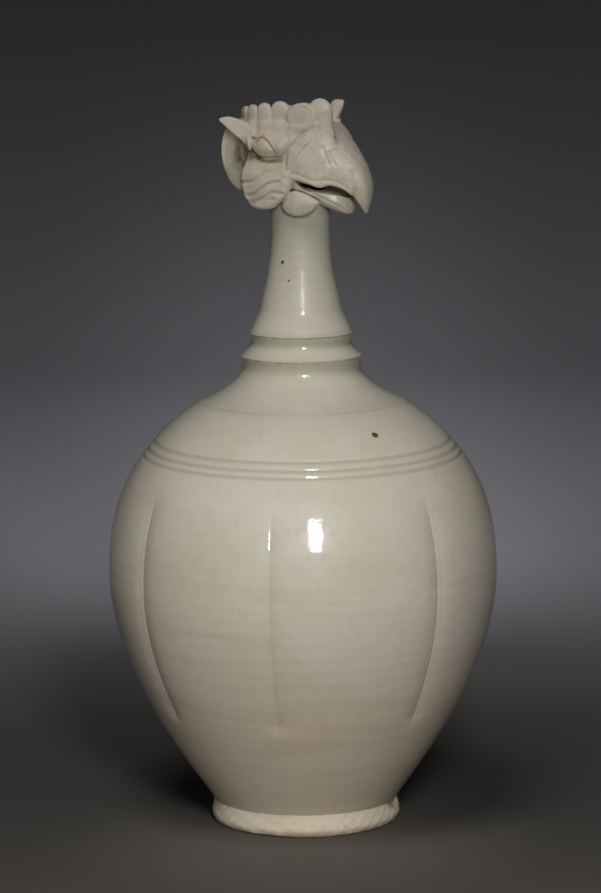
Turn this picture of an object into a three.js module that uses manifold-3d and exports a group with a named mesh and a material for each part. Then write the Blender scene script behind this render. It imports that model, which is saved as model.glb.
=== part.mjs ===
// Phoenix-headed ewer in glazed stoneware: an egg-shaped body with pressed lobes on a low foot, a neck in
// three tiers and a modelled bird's head. Millimetres, +Z up. The origin is on the axis of the pot, at the
// surface that the foot stands on. The beak points along +X, and the bird's right side is at -Y.
import * as THREE from "three";
import { mergeVertices } from "three/addons/utils/BufferGeometryUtils.js";
import Module from "manifold-3d";

const wasm = await Module();
wasm.setup();

// Clearances
const lutingGap = 0.3;

// Foot
const footHeight = 12;
const footEdgeRadius = 48.3;
const footBulgeRadius = 49.6;
const footBulgeHeight = 4;
const footWaistRadius = 48.3;
const footRecessRadius = 39;
const footEdgeRound = 1.2;

// Body
const bellyRadius = 101.8;
const bellyHeight = 131.7;
const shoulderRadius = 52;
const shoulderHeight = 222;
const bodyWall = 6.5;
const floorThickness = 8;
const lowerBodyPower = 1.8;
const lowerBodyFullness = 1.05;
const upperBodyPower = 2.4;
const upperBodyFullness = 0.86;

// Pressed creases between the lobes, as angles round the body from the beak's direction
const creaseAngles = [-167.5, -122.5, -77.7, -25.5, 20, 65, 110, 152];
const creaseDepth = 1.4;
const creaseHalfWidth = 8;
const creaseAboveFoot = 46;
const creaseBelowShoulder = 34;
const creaseFade = 12;

// Incised lines round the shoulder, measured down from the shoulder's top
const shoulderLineDrops = [27.8, 24.4, 20.6];
const shoulderLineDepth = 0.8;
const shoulderLineHalfWidth = 1.1;

// Neck, from the shoulder up: each rise starts where the one before it ends
const neckWall = 4.8;
const neckSeatRadius = 50.6;
const neckBaseRise = 18.5;
const neckBaseWaistRadius = 30.6;
const neckBasePower = 1.85;
const lowerCollarRise = 5.3;
const lowerCollarRadius = 32.4;
const collarStep = 0.9;
const collarWaistRise = 7.4;
const collarWaistRadius = 26;
const upperCollarRise = 4.6;
const upperCollarRadius = 27.8;
const collarFlare = 2;
const neckTaperRise = 52.2;
const neckTaperPower = 2.15;
const neckEndRise = 18;
const neckRadius = 15.3;

const neckBaseWaistHeight = shoulderHeight + neckBaseRise;
const lowerCollarHeight = neckBaseWaistHeight + lowerCollarRise;
const collarWaistHeight = lowerCollarHeight + collarWaistRise;
const upperCollarHeight = collarWaistHeight + upperCollarRise;
const neckTaperHeight = upperCollarHeight + neckTaperRise;
const neckTopHeight = neckTaperHeight + neckEndRise;

// Skull. From here on, heights are measured from the top of the neck, where the head is luted on.
const skullHalfLength = 24.5;
const skullHalfWidth = 19;
const skullSetBack = 7.5;
const skullWidest = 21;
const skullCrown = 40;
const skullSeatMargin = 1;
const skullSquareness = 0.75;
const skullWall = 4.4;
const crownRounding = 0.6;
const crownPower = 4;
const chinRounding = 5;
const chinPower = 2.6;
const chinRise = 12;
const crownPlate = 4;
const crownHoleHalfLength = 10;

const skullFront = skullHalfLength - skullSetBack;
const skullBack = -skullHalfLength - skullSetBack;

// Levels of the skull's sections, as shares of its height
const skullLevels = [0, 0.075, 0.175, 0.325, 0.525, 0.7, 0.84, 0.925, 0.975];
const hollowLevels = [0.87, 0.7, 0.525, 0.325, 0.175, 0];

// Throat, from the hollow of the skull into the mouth
const throatRadius = 5;
const throatHeight = 6.5;
const throatInside = 13;
const throatOutside = 7;

// Beak: curves in the middle plane from the root to the tip, as [forward of the skull's front, height]
const culmen = [
  [-15, 34], [-2, 38.5], [3.6, 35.6], [11.2, 25.7], [18, 17], [22.6, 6.8], [22.5, -1], [19.9, -8.2],
];
const upperBeakEdge = [
  [-18, 13], [-10, 9], [-2.2, 6.3], [3.7, 7.2], [10.6, 3], [15.6, -3.2], [19.9, -8.2],
];
const upperBeakSpread = 0.2;
const upperBeakTipHalfWidth = 3.6;
const upperBeakTaper = 1.1;
const upperBeakLip = 0.13;
const upperBeakTipRounding = 8;
const palateRise = 0.34;
const beakRootSquareness = 0.6;
const beakTipSquareness = 0.9;
const lowerBeakRim = [[-17, 8], [-8.4, 5.4], [-1.5, 3.8], [5.7, 0.2], [10, -3.4]];
const lowerBeakKeel = [[-17, -1.5], [-8.4, -2.6], [-1.5, -4.4], [5.7, -7], [11.4, -8.2]];
const lowerBeakInset = 3.5;
const lowerBeakTipHalfWidth = 5;
const lowerBeakLip = 0.17;
const lowerBeakTipRounding = 5;
const scoopRise = 0.6;

// Places on the bird's right side that the modelled pieces are measured from
const cheek = [0, -skullHalfWidth, skullWidest];
const nape = [skullBack, 0, skullWidest];
const crownEdge = [0, -skullHalfWidth, skullCrown];
const beakTop = [skullFront, 0, skullCrown];

// Leaf-shaped pieces of the bird's right side. The spine is three places from the root to the tip, measured
// from the seat, across is the direction of the width, and the powers make an end round (0.5), pointed (1) or
// blunt (less than 0.5).
const leaves = {
  eye: {
    seat: cheek,
    spine: [[-15.6, 0.4, 6.4], [-11.2, -1.4, 6.9], [-6.9, -0.2, 6.2]],
    across: [0, -0.15, 1],
    halfWidth: 4,
    halfThickness: 2.8,
    rootPower: 0.5,
    tipPower: 0.5,
  },
  brow: {
    seat: cheek,
    spine: [[-20.5, 3.5, 11], [-9.5, -0.6, 15.5], [1.5, 2, 3.5]],
    across: [0.3, -0.75, 1],
    halfWidth: 4.6,
    halfThickness: 3,
    rootPower: 0.5,
    tipPower: 0.6,
  },
  ear: {
    seat: cheek,
    spine: [[-16.5, 4, 8.5], [-27.6, -1.5, 16], [-35.6, -5.2, 20.4]],
    across: [0.35, -0.1, 1],
    halfWidth: 5,
    halfThickness: 1.9,
    rootPower: 0.35,
    tipPower: 0.9,
  },
  nape_curl: {
    seat: nape,
    spine: [[2, -12, 15], [-4.2, -11, 0], [6, -12, -18.4]],
    across: [0.9, -0.44, 0],
    halfWidth: 8.4,
    halfThickness: 3.2,
    rootPower: 0.45,
    tipPower: 0.5,
  },
  cheek_feathers: {
    seat: cheek,
    spine: [[-9, 1.4, 2.5], [-11, -3.6, -12], [-11.5, -0.6, -26.4]],
    across: [1, 0.04, 0.04],
    halfWidth: 13,
    halfThickness: 2.9,
    rootPower: 0.4,
    tipPower: 0.36,
  },
  wattle: {
    seat: cheek,
    spine: [[-3.6, 0.2, -25], [7, 0.4, -23.6], [18, 4, -21]],
    across: [0.1, 0.12, 1],
    halfWidth: 6.4,
    halfThickness: 1.8,
    rootPower: 0.45,
    tipPower: 0.6,
  },
  crest_plume: {
    seat: beakTop,
    spine: [[2.5, -6.5, -13], [0.8, -10.6, 1], [-0.8, -13.4, 12]],
    across: [1, 0.25, 0.02],
    halfWidth: 6.8,
    halfThickness: 2.3,
    rootPower: 0.3,
    tipPower: 0.42,
  },
};

// How much lower the plume and the comb's lobes end on each side
const crestDrops = { right: 0, left: 4 };

// Comb: its lobes from the volute at the front to the small lobes that meet behind the crown. A lobe has
// the place of its middle and its top above the crown, measured from the crown's edge at the side, and the
// turn of the strip there, in degrees from straight back.
const combLobes = {
  volute: { place: [8, 4.4], top: 9.4, halfWidth: 7.4, turnAngle: -4 },
  second: { place: [-4.2, 3.4], top: 10.4, halfWidth: 5.8, turnAngle: 0 },
  third: { place: [-13.2, 3.6], top: 9.6, halfWidth: 5.5, turnAngle: 8 },
  fourth: { place: [-20.9, 6], top: 8, halfWidth: 5, turnAngle: 28 },
  fifth: { place: [-26.2, 10.2], top: 6.4, halfWidth: 4.3, turnAngle: 50 },
  sixth: { place: [-28.8, 15.1], top: 5.4, halfWidth: 3.6, turnAngle: 76 },
};
const combSink = 4.5;
const combLean = 1.2;
const combHalfThickness = 2.4;
const combRootPower = 0.22;
const combTipPower = 0.45;

// Facets
const neckColumns = 32;
const skullColumns = 28;
const leafColumns = 12;
const leafRows = 8;
const beakColumns = 20;
const beakRows = 13;

// Finishes
const bodyGlaze = new THREE.MeshStandardMaterial({ color: 0xbdb7a6, roughness: 0.22, metalness: 0 });
const headGlaze = new THREE.MeshStandardMaterial({ color: 0xb5ad9b, roughness: 0.5, metalness: 0 });
const bareClay = new THREE.MeshStandardMaterial({ color: 0xc4b299, roughness: 0.85, metalness: 0 });

const degrees = THREE.MathUtils.degToRad;
const mix = THREE.MathUtils.lerp;
const smooth = (t) => THREE.MathUtils.smoothstep(t, 0, 1);

const powered = (value, power) => Math.sign(value) * Math.abs(value) ** power;

// Evenly spaced values from first to last.
function steps(first, last, count) {
  return Array.from({ length: count + 1 }, (_, i) => mix(first, last, i / count));
}

function evenAngles(count) {
  return steps(0, 2 * Math.PI, count).slice(0, -1);
}

// A closed profile of [size, height] points carried round +Z, with a column of corners at each angle. place
// turns a profile point and an angle into a position.
function turned(profile, angles, place) {
  const points = profile.map(([size, height]) => new THREE.Vector2(size, height));
  const geometry = new THREE.LatheGeometry(points, angles.length);
  const { position, uv } = geometry.attributes;
  for (let i = 0; i < position.count; i++) {
    const [size, height] = profile[Math.round(uv.getY(i) * (profile.length - 1))];
    const angle = angles[Math.round(uv.getX(i) * angles.length) % angles.length];
    position.setXYZ(i, ...place(size, height, angle));
  }
  return geometry;
}

// A closed skin with a pole at each end: place turns the share round (0 to 1) and the share along (0 to 1)
// into a position, and has to give one place at each pole.
function skin(columns, rows, place) {
  const geometry = new THREE.SphereGeometry(1, columns, rows);
  const { position, uv } = geometry.attributes;
  for (let i = 0; i < position.count; i++) {
    const round = uv.getX(i) % 1;
    const along = (1 - Math.cos(Math.PI * (1 - uv.getY(i)))) / 2;
    position.setXYZ(i, ...place(round, along));
  }
  return geometry;
}

// The geometry as a solid that can be joined and cut.
function solid(geometry) {
  const bare = geometry.clone();
  bare.deleteAttribute("normal");
  bare.deleteAttribute("uv");
  const merged = mergeVertices(bare, 1e-4);
  const vertProperties = new Float32Array(merged.attributes.position.array);
  const triVerts = new Uint32Array(merged.index.array);
  return new wasm.Manifold(new wasm.Mesh({ numProp: 3, vertProperties, triVerts }));
}

function named(name, body, material, height = 0) {
  const { vertProperties, triVerts } = body.getMesh();
  const geometry = new THREE.BufferGeometry();
  geometry.setAttribute("position", new THREE.BufferAttribute(vertProperties, 3));
  geometry.setIndex(new THREE.BufferAttribute(triVerts, 1));
  geometry.computeVertexNormals();
  const mesh = new THREE.Mesh(geometry, material);
  mesh.name = name;
  mesh.position.z = height;
  return mesh;
}

// Outer radius of the pot's body: two stretches that leave the belly upright and close in by a power law.
function bodyRadius(height) {
  const below = height < bellyHeight;
  const end = below ? footHeight : shoulderHeight;
  const endRadius = below ? footWaistRadius : shoulderRadius;
  const power = below ? lowerBodyPower : upperBodyPower;
  const fullness = below ? lowerBodyFullness : upperBodyFullness;
  const away = Math.min(1, Math.abs(height - bellyHeight) / Math.abs(end - bellyHeight));
  return endRadius + (bellyRadius - endRadius) * (1 - away ** power) ** fullness;
}

// How far the wall is pressed in at a height and an angle.
function creaseAt(height, angle) {
  const rise = smooth((height - footHeight - creaseAboveFoot) / creaseFade);
  const fall = smooth((shoulderHeight - creaseBelowShoulder - height) / creaseFade);
  const distances = creaseAngles.map((crease) => {
    const turn = Math.atan2(Math.sin(angle - degrees(crease)), Math.cos(angle - degrees(crease)));
    return Math.abs(turn) * bodyRadius(height);
  });
  const near = Math.max(0, 1 - Math.min(...distances) / creaseHalfWidth);
  return creaseDepth * rise * fall * near ** 2;
}

// The columns of the body stand on each crease, beside it and between, and on the four axis directions.
function bodyAngles() {
  const beside = THREE.MathUtils.radToDeg(creaseHalfWidth / bellyRadius);
  const sorted = [...creaseAngles].sort((a, b) => a - b);
  const angles = [-90, 0, 90, 180];
  sorted.forEach((crease, i) => {
    const next = i + 1 < sorted.length ? sorted[i + 1] : sorted[0] + 360;
    angles.push(crease, ...steps(crease + beside, next - beside, 3));
  });
  const wrapped = angles.map((angle) => (angle > 180 ? angle - 360 : angle));
  return wrapped.sort((a, b) => a - b).map(degrees);
}

function pressed(radius, height, angle) {
  const r = radius - creaseAt(height, angle);
  return [r * Math.cos(angle), r * Math.sin(angle), height];
}

function round(radius, height, angle) {
  return [radius * Math.cos(angle), radius * Math.sin(angle), height];
}

function footRing() {
  return turned([
    [footRecessRadius, 0],
    [footEdgeRadius - footEdgeRound, 0],
    [footEdgeRadius, footEdgeRound],
    [footBulgeRadius, footBulgeHeight],
    [footWaistRadius, footHeight],
    [footRecessRadius, footHeight],
    [footRecessRadius, 0],
  ], bodyAngles(), round);
}

function lowerBody() {
  const floor = footHeight + floorThickness;
  const outer = steps(footHeight, bellyHeight, 11).map((height) => [bodyRadius(height), height]);
  const inner = steps(bellyHeight, floor, 7).map((height) => [bodyRadius(height) - bodyWall, height]);
  return turned([[0, footHeight], ...outer, ...inner, [0, floor]], bodyAngles(), pressed);
}

function shoulderLine(height) {
  return [
    [bodyRadius(height - shoulderLineHalfWidth), height - shoulderLineHalfWidth],
    [bodyRadius(height) - shoulderLineDepth, height],
    [bodyRadius(height + shoulderLineHalfWidth), height + shoulderLineHalfWidth],
  ];
}

function upperBody() {
  const lines = shoulderLineDrops.map((drop) => shoulderHeight - drop);
  const margin = 3 * shoulderLineHalfWidth;
  const wall = (height) => [bodyRadius(height), height];
  const inner = steps(shoulderHeight, bellyHeight, 7)
    .map((height) => [bodyRadius(height) - bodyWall, height]);
  const outer = [
    ...steps(bellyHeight, lines[0] - margin, 6).map(wall),
    ...lines.flatMap(shoulderLine),
    ...steps(lines.at(-1) + margin, shoulderHeight, 4).map(wall),
  ];
  return turned([...outer, ...inner, outer[0]], bodyAngles(), pressed);
}

function neckBaseRadius(height) {
  if (height > neckBaseWaistHeight) {
    const flare = (height - neckBaseWaistHeight) / lowerCollarRise;
    return mix(neckBaseWaistRadius, lowerCollarRadius, flare ** collarFlare);
  }
  const down = (neckBaseWaistHeight - height) / neckBaseRise;
  return mix(neckBaseWaistRadius, neckSeatRadius, down ** neckBasePower);
}

function neckBase() {
  const outer = [
    ...steps(shoulderHeight, neckBaseWaistHeight, 6),
    ...steps(neckBaseWaistHeight, lowerCollarHeight, 3).slice(1),
  ].map((height) => [neckBaseRadius(height), height]);
  const inner = steps(neckBaseWaistHeight, shoulderHeight, 4)
    .map((height) => [neckBaseRadius(height) - neckWall, height]);
  const bore = neckBaseWaistRadius - neckWall;
  return turned([...outer, [bore, lowerCollarHeight], ...inner, outer[0]], evenAngles(neckColumns), round);
}

function neckCollarRadius(height) {
  if (height > collarWaistHeight) {
    const flare = (height - collarWaistHeight) / upperCollarRise;
    return mix(collarWaistRadius, upperCollarRadius, flare ** collarFlare);
  }
  const down = (collarWaistHeight - height) / collarWaistRise;
  return mix(collarWaistRadius, lowerCollarRadius - collarStep, down ** collarFlare);
}

function neckCollar() {
  const outer = [
    ...steps(lowerCollarHeight, collarWaistHeight, 4),
    ...steps(collarWaistHeight, upperCollarHeight, 2).slice(1),
  ].map((height) => [neckCollarRadius(height), height]);
  const bore = collarWaistRadius - neckWall;
  const inner = [[bore, upperCollarHeight], [bore, lowerCollarHeight]];
  return turned([...outer, ...inner, outer[0]], evenAngles(neckColumns), round);
}

function neckTubeRadius(height) {
  const left = Math.max(0, (neckTaperHeight - height) / neckTaperRise);
  return mix(neckRadius, upperCollarRadius - collarStep, left ** neckTaperPower);
}

function neckTube() {
  const heights = [...steps(upperCollarHeight, neckTaperHeight, 8), neckTopHeight];
  const outer = heights.map((height) => [neckTubeRadius(height), height]);
  const bore = collarWaistRadius - neckWall;
  const inner = [...heights].reverse()
    .map((height) => [Math.min(bore, neckTubeRadius(height) - neckWall), height]);
  return turned([...outer, ...inner, outer[0]], evenAngles(neckColumns), round);
}

// The skull's section at a height: it grows from the neck's circle to a squared oval and closes in to the
// crown.
function skullSection(height) {
  const up = height > skullWidest;
  const reach = up ? skullCrown - skullWidest + crownRounding : skullWidest + chinRounding;
  const power = up ? crownPower : chinPower;
  const share = (1 - (Math.abs(height - skullWidest) / reach) ** power) ** (1 / power);
  const blend = smooth(height / chinRise);
  const seat = neckRadius + skullSeatMargin;
  return {
    centre: mix(0, -skullSetBack, blend),
    length: mix(seat, skullHalfLength * share, blend),
    width: mix(seat, skullHalfWidth * share, blend),
    power: mix(1, skullSquareness, blend),
  };
}

// A skull profile point is the share of the section's size that it keeps, and its height.
function onSkull(share, height, angle, grow = 0) {
  const { centre, length, width, power } = skullSection(Math.min(height, skullCrown));
  return [
    centre + share * (length + grow) * powered(Math.cos(angle), power),
    share * (width + grow) * powered(Math.sin(angle), power),
    height,
  ];
}

function skull() {
  const roof = skullCrown - crownPlate;
  const hollow = 1 - skullWall / skullHalfLength;
  const holeShare = (height) => crownHoleHalfLength / skullSection(height).length;
  const profile = [
    ...skullLevels.map((level) => [1, level * skullCrown]),
    [holeShare(skullCrown), skullCrown],
    [holeShare(roof), roof],
    ...hollowLevels.map((level) => [hollow, level * skullCrown]),
    [1, 0],
  ];
  const throatLength = throatInside + throatOutside;
  const throat = new THREE.CylinderGeometry(throatRadius, throatRadius, throatLength, 16);
  throat.rotateZ(Math.PI / 2);
  throat.translate(skullFront + throatOutside - throatLength / 2, 0, throatHeight);
  return solid(turned(profile, evenAngles(skullColumns), onSkull)).subtract(solid(throat));
}

// The space that the skull and the neck's top fill, with the gap that luted pieces keep to them.
function skullSpace() {
  const profile = [
    [0, 0],
    ...skullLevels.map((level) => [1, level * skullCrown]),
    [1, skullCrown + lutingGap],
    [0, skullCrown + lutingGap],
  ];
  const grown = (share, height, angle) => onSkull(share, height, angle, lutingGap);
  const clearRadius = neckRadius + lutingGap;
  const neck = new THREE.CylinderGeometry(clearRadius, clearRadius, 2 * neckEndRise, neckColumns);
  neck.rotateX(Math.PI / 2);
  return solid(turned(profile, evenAngles(skullColumns), grown)).add(solid(neck));
}

function along(points, share) {
  const curve = new THREE.SplineCurve(points.map(([forward, height]) => new THREE.Vector2(forward, height)));
  return curve.getPoint(share);
}

// A beak half is a crescent section carried from root to tip: an outer arch between the two edges, and an
// inner one that is narrower by the lip's share. ridge is the middle line, edge the line of both side edges.
function beak({ ridge, edge, halfWidth, tipHalfWidth, taper, tipRounding, innerRise, lip, grow }) {
  const place = (points, share) => along(points, share).add(new THREE.Vector2(skullFront, 0));
  const turn = place(ridge, 0.5).y > place(edge, 0.5).y ? 90 : -90;
  return skin(beakColumns, beakRows, (share, t) => {
    const outwards = place(ridge, t).sub(place(edge, t)).setLength(grow);
    const top = place(ridge, t).add(outwards);
    const side = place(edge, t).sub(outwards);
    if (t === 0) return [(top.x + side.x) / 2, 0, (top.y + side.y) / 2];
    if (t === 1) return [top.x, 0, top.y];
    const outer = share <= 0.5;
    const sweep = outer ? mix(-turn, turn, share * 2) : mix(turn, -turn, share * 2 - 1);
    const rise = outer ? 1 : innerRise * (1 - t);
    const wide = mix(halfWidth, tipHalfWidth, taper(t)) * (1 - t ** tipRounding) ** 0.5 + grow;
    const power = outer ? mix(beakRootSquareness, beakTipSquareness, t) : 1;
    const up = rise * powered(Math.cos(degrees(sweep)), power);
    const across = wide * (outer ? 1 : 1 - lip) * powered(Math.sin(degrees(sweep)), power);
    return [mix(side.x, top.x, up), across, mix(side.y, top.y, up)];
  });
}

function upperBeak(grow = 0) {
  return solid(beak({
    ridge: culmen,
    edge: upperBeakEdge,
    halfWidth: skullHalfWidth + upperBeakSpread,
    tipHalfWidth: upperBeakTipHalfWidth,
    taper: (t) => smooth(t * upperBeakTaper),
    tipRounding: upperBeakTipRounding,
    innerRise: palateRise,
    lip: upperBeakLip,
    grow,
  }));
}

function lowerBeak(grow = 0) {
  return solid(beak({
    ridge: lowerBeakKeel,
    edge: lowerBeakRim,
    halfWidth: skullHalfWidth - lowerBeakInset,
    tipHalfWidth: lowerBeakTipHalfWidth,
    taper: (t) => t,
    tipRounding: lowerBeakTipRounding,
    innerRise: scoopRise,
    lip: lowerBeakLip,
    grow,
  }));
}

// A leaf is an elliptical section carried along its spine. Its width and thickness grow from nothing at the
// root and fall to nothing at the tip, each by its own power.
function leaf({ seat, spine, across, halfWidth, halfThickness, rootPower, tipPower }, grow = 0) {
  const places = spine.map((place) => new THREE.Vector3(...seat).add(new THREE.Vector3(...place)));
  const curve = new THREE.CatmullRomCurve3(places);
  const widest = rootPower / (rootPower + tipPower);
  return skin(leafColumns, leafRows, (share, t) => {
    const size = (t / widest) ** rootPower * ((1 - t) / (1 - widest)) ** tipPower;
    const forward = curve.getTangent(t);
    const side = new THREE.Vector3(...across).projectOnPlane(forward).normalize();
    const face = new THREE.Vector3().crossVectors(side, forward);
    const sweep = share * 2 * Math.PI;
    return curve.getPoint(t)
      .addScaledVector(forward, grow * (2 * t - 1))
      .addScaledVector(side, (halfWidth + grow) * size * Math.cos(sweep))
      .addScaledVector(face, (halfThickness + grow) * size * Math.sin(sweep))
      .toArray();
  });
}

// The comb's lobes stand side by side on the crown, each a round leaf turned along the strip and leaning out.
function comb(drop, grow = 0) {
  const lobes = Object.values(combLobes).map(({ place: [x, y], top, halfWidth, turnAngle }) => leaf({
    seat: crownEdge,
    spine: [
      [x, y, -combSink],
      [x, y - combLean / 2, (top - drop - combSink) / 2],
      [x, y - combLean, top - drop],
    ],
    across: [-Math.cos(degrees(turnAngle)), Math.sin(degrees(turnAngle)), 0],
    halfWidth,
    halfThickness: combHalfThickness,
    rootPower: combRootPower,
    tipPower: combTipPower,
  }, grow));
  return lobes.map(solid).reduce((whole, lobe) => whole.add(lobe));
}

// The piece without what its neighbours and the skull take up.
function fitted(piece, ...neighbours) {
  const cut = neighbours.reduce((left, neighbour) => left.subtract(neighbour), piece.subtract(space));
  return cut.decompose().sort((a, b) => b.volume() - a.volume())[0];
}

const space = skullSpace();
const part = (name, grow = 0) => solid(leaf(leaves[name], grow));
const clear = (name) => part(name, lutingGap);

const paired = {
  eye: fitted(part("eye")),
  brow: fitted(part("brow"), clear("eye")),
  ear: fitted(part("ear"), clear("eye"), clear("brow")),
  nape_curl: fitted(part("nape_curl"), clear("ear")),
  cheek_feathers: fitted(part("cheek_feathers"), clear("eye"), clear("brow"), clear("nape_curl"),
    upperBeak(lutingGap), lowerBeak(lutingGap)),
  wattle: fitted(part("wattle"), clear("cheek_feathers"), upperBeak(lutingGap), lowerBeak(lutingGap)),
};

const ewer = new THREE.Group();
ewer.name = "phoenix_headed_ewer";
ewer.add(
  named("foot_ring", solid(footRing()), bareClay),
  named("lower_body", solid(lowerBody()), bodyGlaze),
  named("upper_body", solid(upperBody()), bodyGlaze),
  named("neck_base", solid(neckBase()), bodyGlaze),
  named("neck_collar", solid(neckCollar()), bodyGlaze),
  named("neck_tube", solid(neckTube()), bodyGlaze),
);

function addToHead(name, body) {
  ewer.add(named(name, body, headGlaze, neckTopHeight));
}

addToHead("skull", skull());
addToHead("upper_beak", fitted(upperBeak()));
addToHead("lower_beak", fitted(lowerBeak(), upperBeak(lutingGap)));
for (const [name, body] of Object.entries(paired)) {
  addToHead(`${name}_right`, body);
  addToHead(`${name}_left`, body.mirror([0, 1, 0]));
}
for (const [side, drop] of Object.entries(crestDrops)) {
  const spine = leaves.crest_plume.spine.map(([x, y, z], i) => [x, y, z - (drop * i) / 2]);
  const crest = {
    comb: fitted(comb(drop), clear("brow"), clear("ear"), upperBeak(lutingGap)),
    crest_plume: fitted(solid(leaf({ ...leaves.crest_plume, spine })), comb(drop, lutingGap),
      upperBeak(lutingGap)),
  };
  for (const [name, body] of Object.entries(crest)) {
    addToHead(`${name}_${side}`, side === "left" ? body.mirror([0, 1, 0]) : body);
  }
}

export default ewer;
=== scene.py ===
"""Looks of the phoenix-headed ewer: a thrown pot in six pieces, and a bird's head of modelled clay.

The thrown pieces are profiles carried round the pot's axis on a grid of height and angle. The head is worked
out as distances to the clay's surface, because its pieces are smoothed into each other with wet fingers and
then carved, which no grid of its own can follow, and each piece is the part of that clay that belongs to it.
Sizes of shapes are millimetres, turned into metres where a mesh is made. The bird's right side is at -Y.
"""
import math

import bpy
import numpy as np
from mathutils import Euler, Matrix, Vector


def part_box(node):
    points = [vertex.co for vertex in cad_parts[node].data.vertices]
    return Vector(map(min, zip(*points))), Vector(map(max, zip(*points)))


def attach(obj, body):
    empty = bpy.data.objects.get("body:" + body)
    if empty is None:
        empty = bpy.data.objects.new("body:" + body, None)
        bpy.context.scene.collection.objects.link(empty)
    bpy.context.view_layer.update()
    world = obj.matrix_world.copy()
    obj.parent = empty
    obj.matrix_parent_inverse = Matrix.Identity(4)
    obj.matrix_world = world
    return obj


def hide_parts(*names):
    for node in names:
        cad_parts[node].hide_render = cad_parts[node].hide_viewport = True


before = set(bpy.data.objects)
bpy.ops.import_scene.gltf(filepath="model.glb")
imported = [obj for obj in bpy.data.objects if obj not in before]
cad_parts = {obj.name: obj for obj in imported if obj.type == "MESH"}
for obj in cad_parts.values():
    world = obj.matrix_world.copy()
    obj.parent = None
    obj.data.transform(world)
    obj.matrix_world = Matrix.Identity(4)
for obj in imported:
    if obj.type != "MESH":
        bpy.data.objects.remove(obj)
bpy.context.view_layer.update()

MM = 0.001

# Pot sizes in millimetres, from the frame where it holds them
foot_high = np.array(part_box("foot_ring")[1]) / MM
body_high = np.array(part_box("upper_body")[1]) / MM
belly_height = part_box("lower_body")[1][2] / MM
collar_low, collar_high = (corner[2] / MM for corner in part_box("neck_collar"))
tube_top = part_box("neck_tube")[1][2] / MM

FOOT_TOP = foot_high[2]
SHOULDER_TOP = body_high[2]
BELLY_RADIUS = body_high[0]
SHOULDER_RADIUS = 52.0
BODY_WALL = 6.5
FLOOR = 8.0
FOOT_WAIST = 48.3
FOOT_RECESS = 39.0
COLUMNS = 480

# The upright creases: their turns in degrees, the heights they lie between, and the depths and widths of the
# bells that their cross-section adds up from
CREASES = [-167.5, -122.5, -77.7, -25.5, 20.0, 65.0, 110.0, 152.0]
CREASE_LOW, CREASE_HIGH = 59.0, 187.0
CREASE_BELLS = [(0.75, 5), (0.24, 0.9), (0.45, 13)]

# The incised lines round the shoulder, and the heights between which the grid's rows are dense for them
SHOULDER_LINES = [194.2, 197.6, 201.4]
LINE_DEPTH, LINE_WIDTH = 0.6, 0.9
LINED_LOW, LINED_HIGH = 190, 206

NECK_WALL = 4.8
CONE_WAIST, CONE_WAIST_RADIUS = 240.5, 30.6
LOW_COLLAR_RADIUS = 32.4
COLLAR_FOOT_RADIUS = 31.4
COLLAR_WAIST, COLLAR_WAIST_RADIUS = 253.2, 26.0
HIGH_COLLAR_RADIUS = 27.8
TUBE_FOOT_RADIUS = 26.9
TUBE_NARROWING, TUBE_NARROWED_AT = 0.75, 268.5
TAPER_TOP = 310.0
NECK_RADIUS = 15.3


def smooth(value):
    """0 below 0, 1 above 1, and the cubic 3t^2 - 2t^3 between."""
    t = np.clip(value, 0, 1)
    return t * t * (3 - 2 * t)


def bump(value, middle, width):
    """Bell curve of height 1 at the middle."""
    return np.exp(-(((value - middle) / width) ** 2))


def ripple(points, length, seed):
    """Smooth irregular field, mostly within -1 to 1: 1.6 times the mean of six plane waves in fixed random
    directions, with wavelengths round the given length."""
    rng = np.random.default_rng(seed)
    directions = rng.normal(size=(6, 3))
    directions /= np.linalg.norm(directions, axis=1)[:, None]
    waves = directions * (2 * np.pi / (length * rng.uniform(0.7, 1.4, 6)))[:, None]
    return np.sin(points @ waves.T + rng.uniform(0, 6.28, 6)).mean(axis=1) * 1.6


# Meshes and their finish


def finished(name, points, faces, node, material, slot, sharp=None, **shades):
    """A mesh piece in metres that stands for its CAD node, with each shade kept as a number per vertex."""
    mesh = bpy.data.meshes.new(name)
    mesh.from_pydata((points * MM).tolist(), [], faces.tolist())
    mesh.polygons.foreach_set("use_smooth", np.ones(len(faces), dtype=bool))
    for shade, values in shades.items():
        layer = mesh.attributes.new(shade, "FLOAT", "POINT")
        layer.data.foreach_set("value", np.asarray(values, dtype=np.float32))
    if sharp is not None:
        ends = np.empty(len(mesh.edges) * 2, dtype=np.int32)
        mesh.edges.foreach_get("vertices", ends)
        edge = mesh.attributes.new("sharp_edge", "BOOLEAN", "EDGE")
        edge.data.foreach_set("value", sharp[ends].reshape(-1, 2).all(axis=1))
    mesh.validate()
    mesh.materials.append(material)
    piece = bpy.data.objects.new(name, mesh)
    bpy.context.scene.collection.objects.link(piece)
    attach(piece, "root")
    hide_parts(node)
    return piece


# Thrown pot


def body_radius(z):
    """Two stretches that leave the belly upright and close in by a power law, as the CAD body does."""
    down = np.clip((belly_height - z) / (belly_height - FOOT_TOP), 0, 1)
    up = np.clip((z - belly_height) / (SHOULDER_TOP - belly_height), 0, 1)
    lower = FOOT_WAIST + (BELLY_RADIUS - FOOT_WAIST) * (1 - down**1.8) ** 1.05
    upper = SHOULDER_RADIUS + (BELLY_RADIUS - SHOULDER_RADIUS) * (1 - up**2.4) ** 0.86
    return np.where(z < belly_height, lower, upper)


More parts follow.
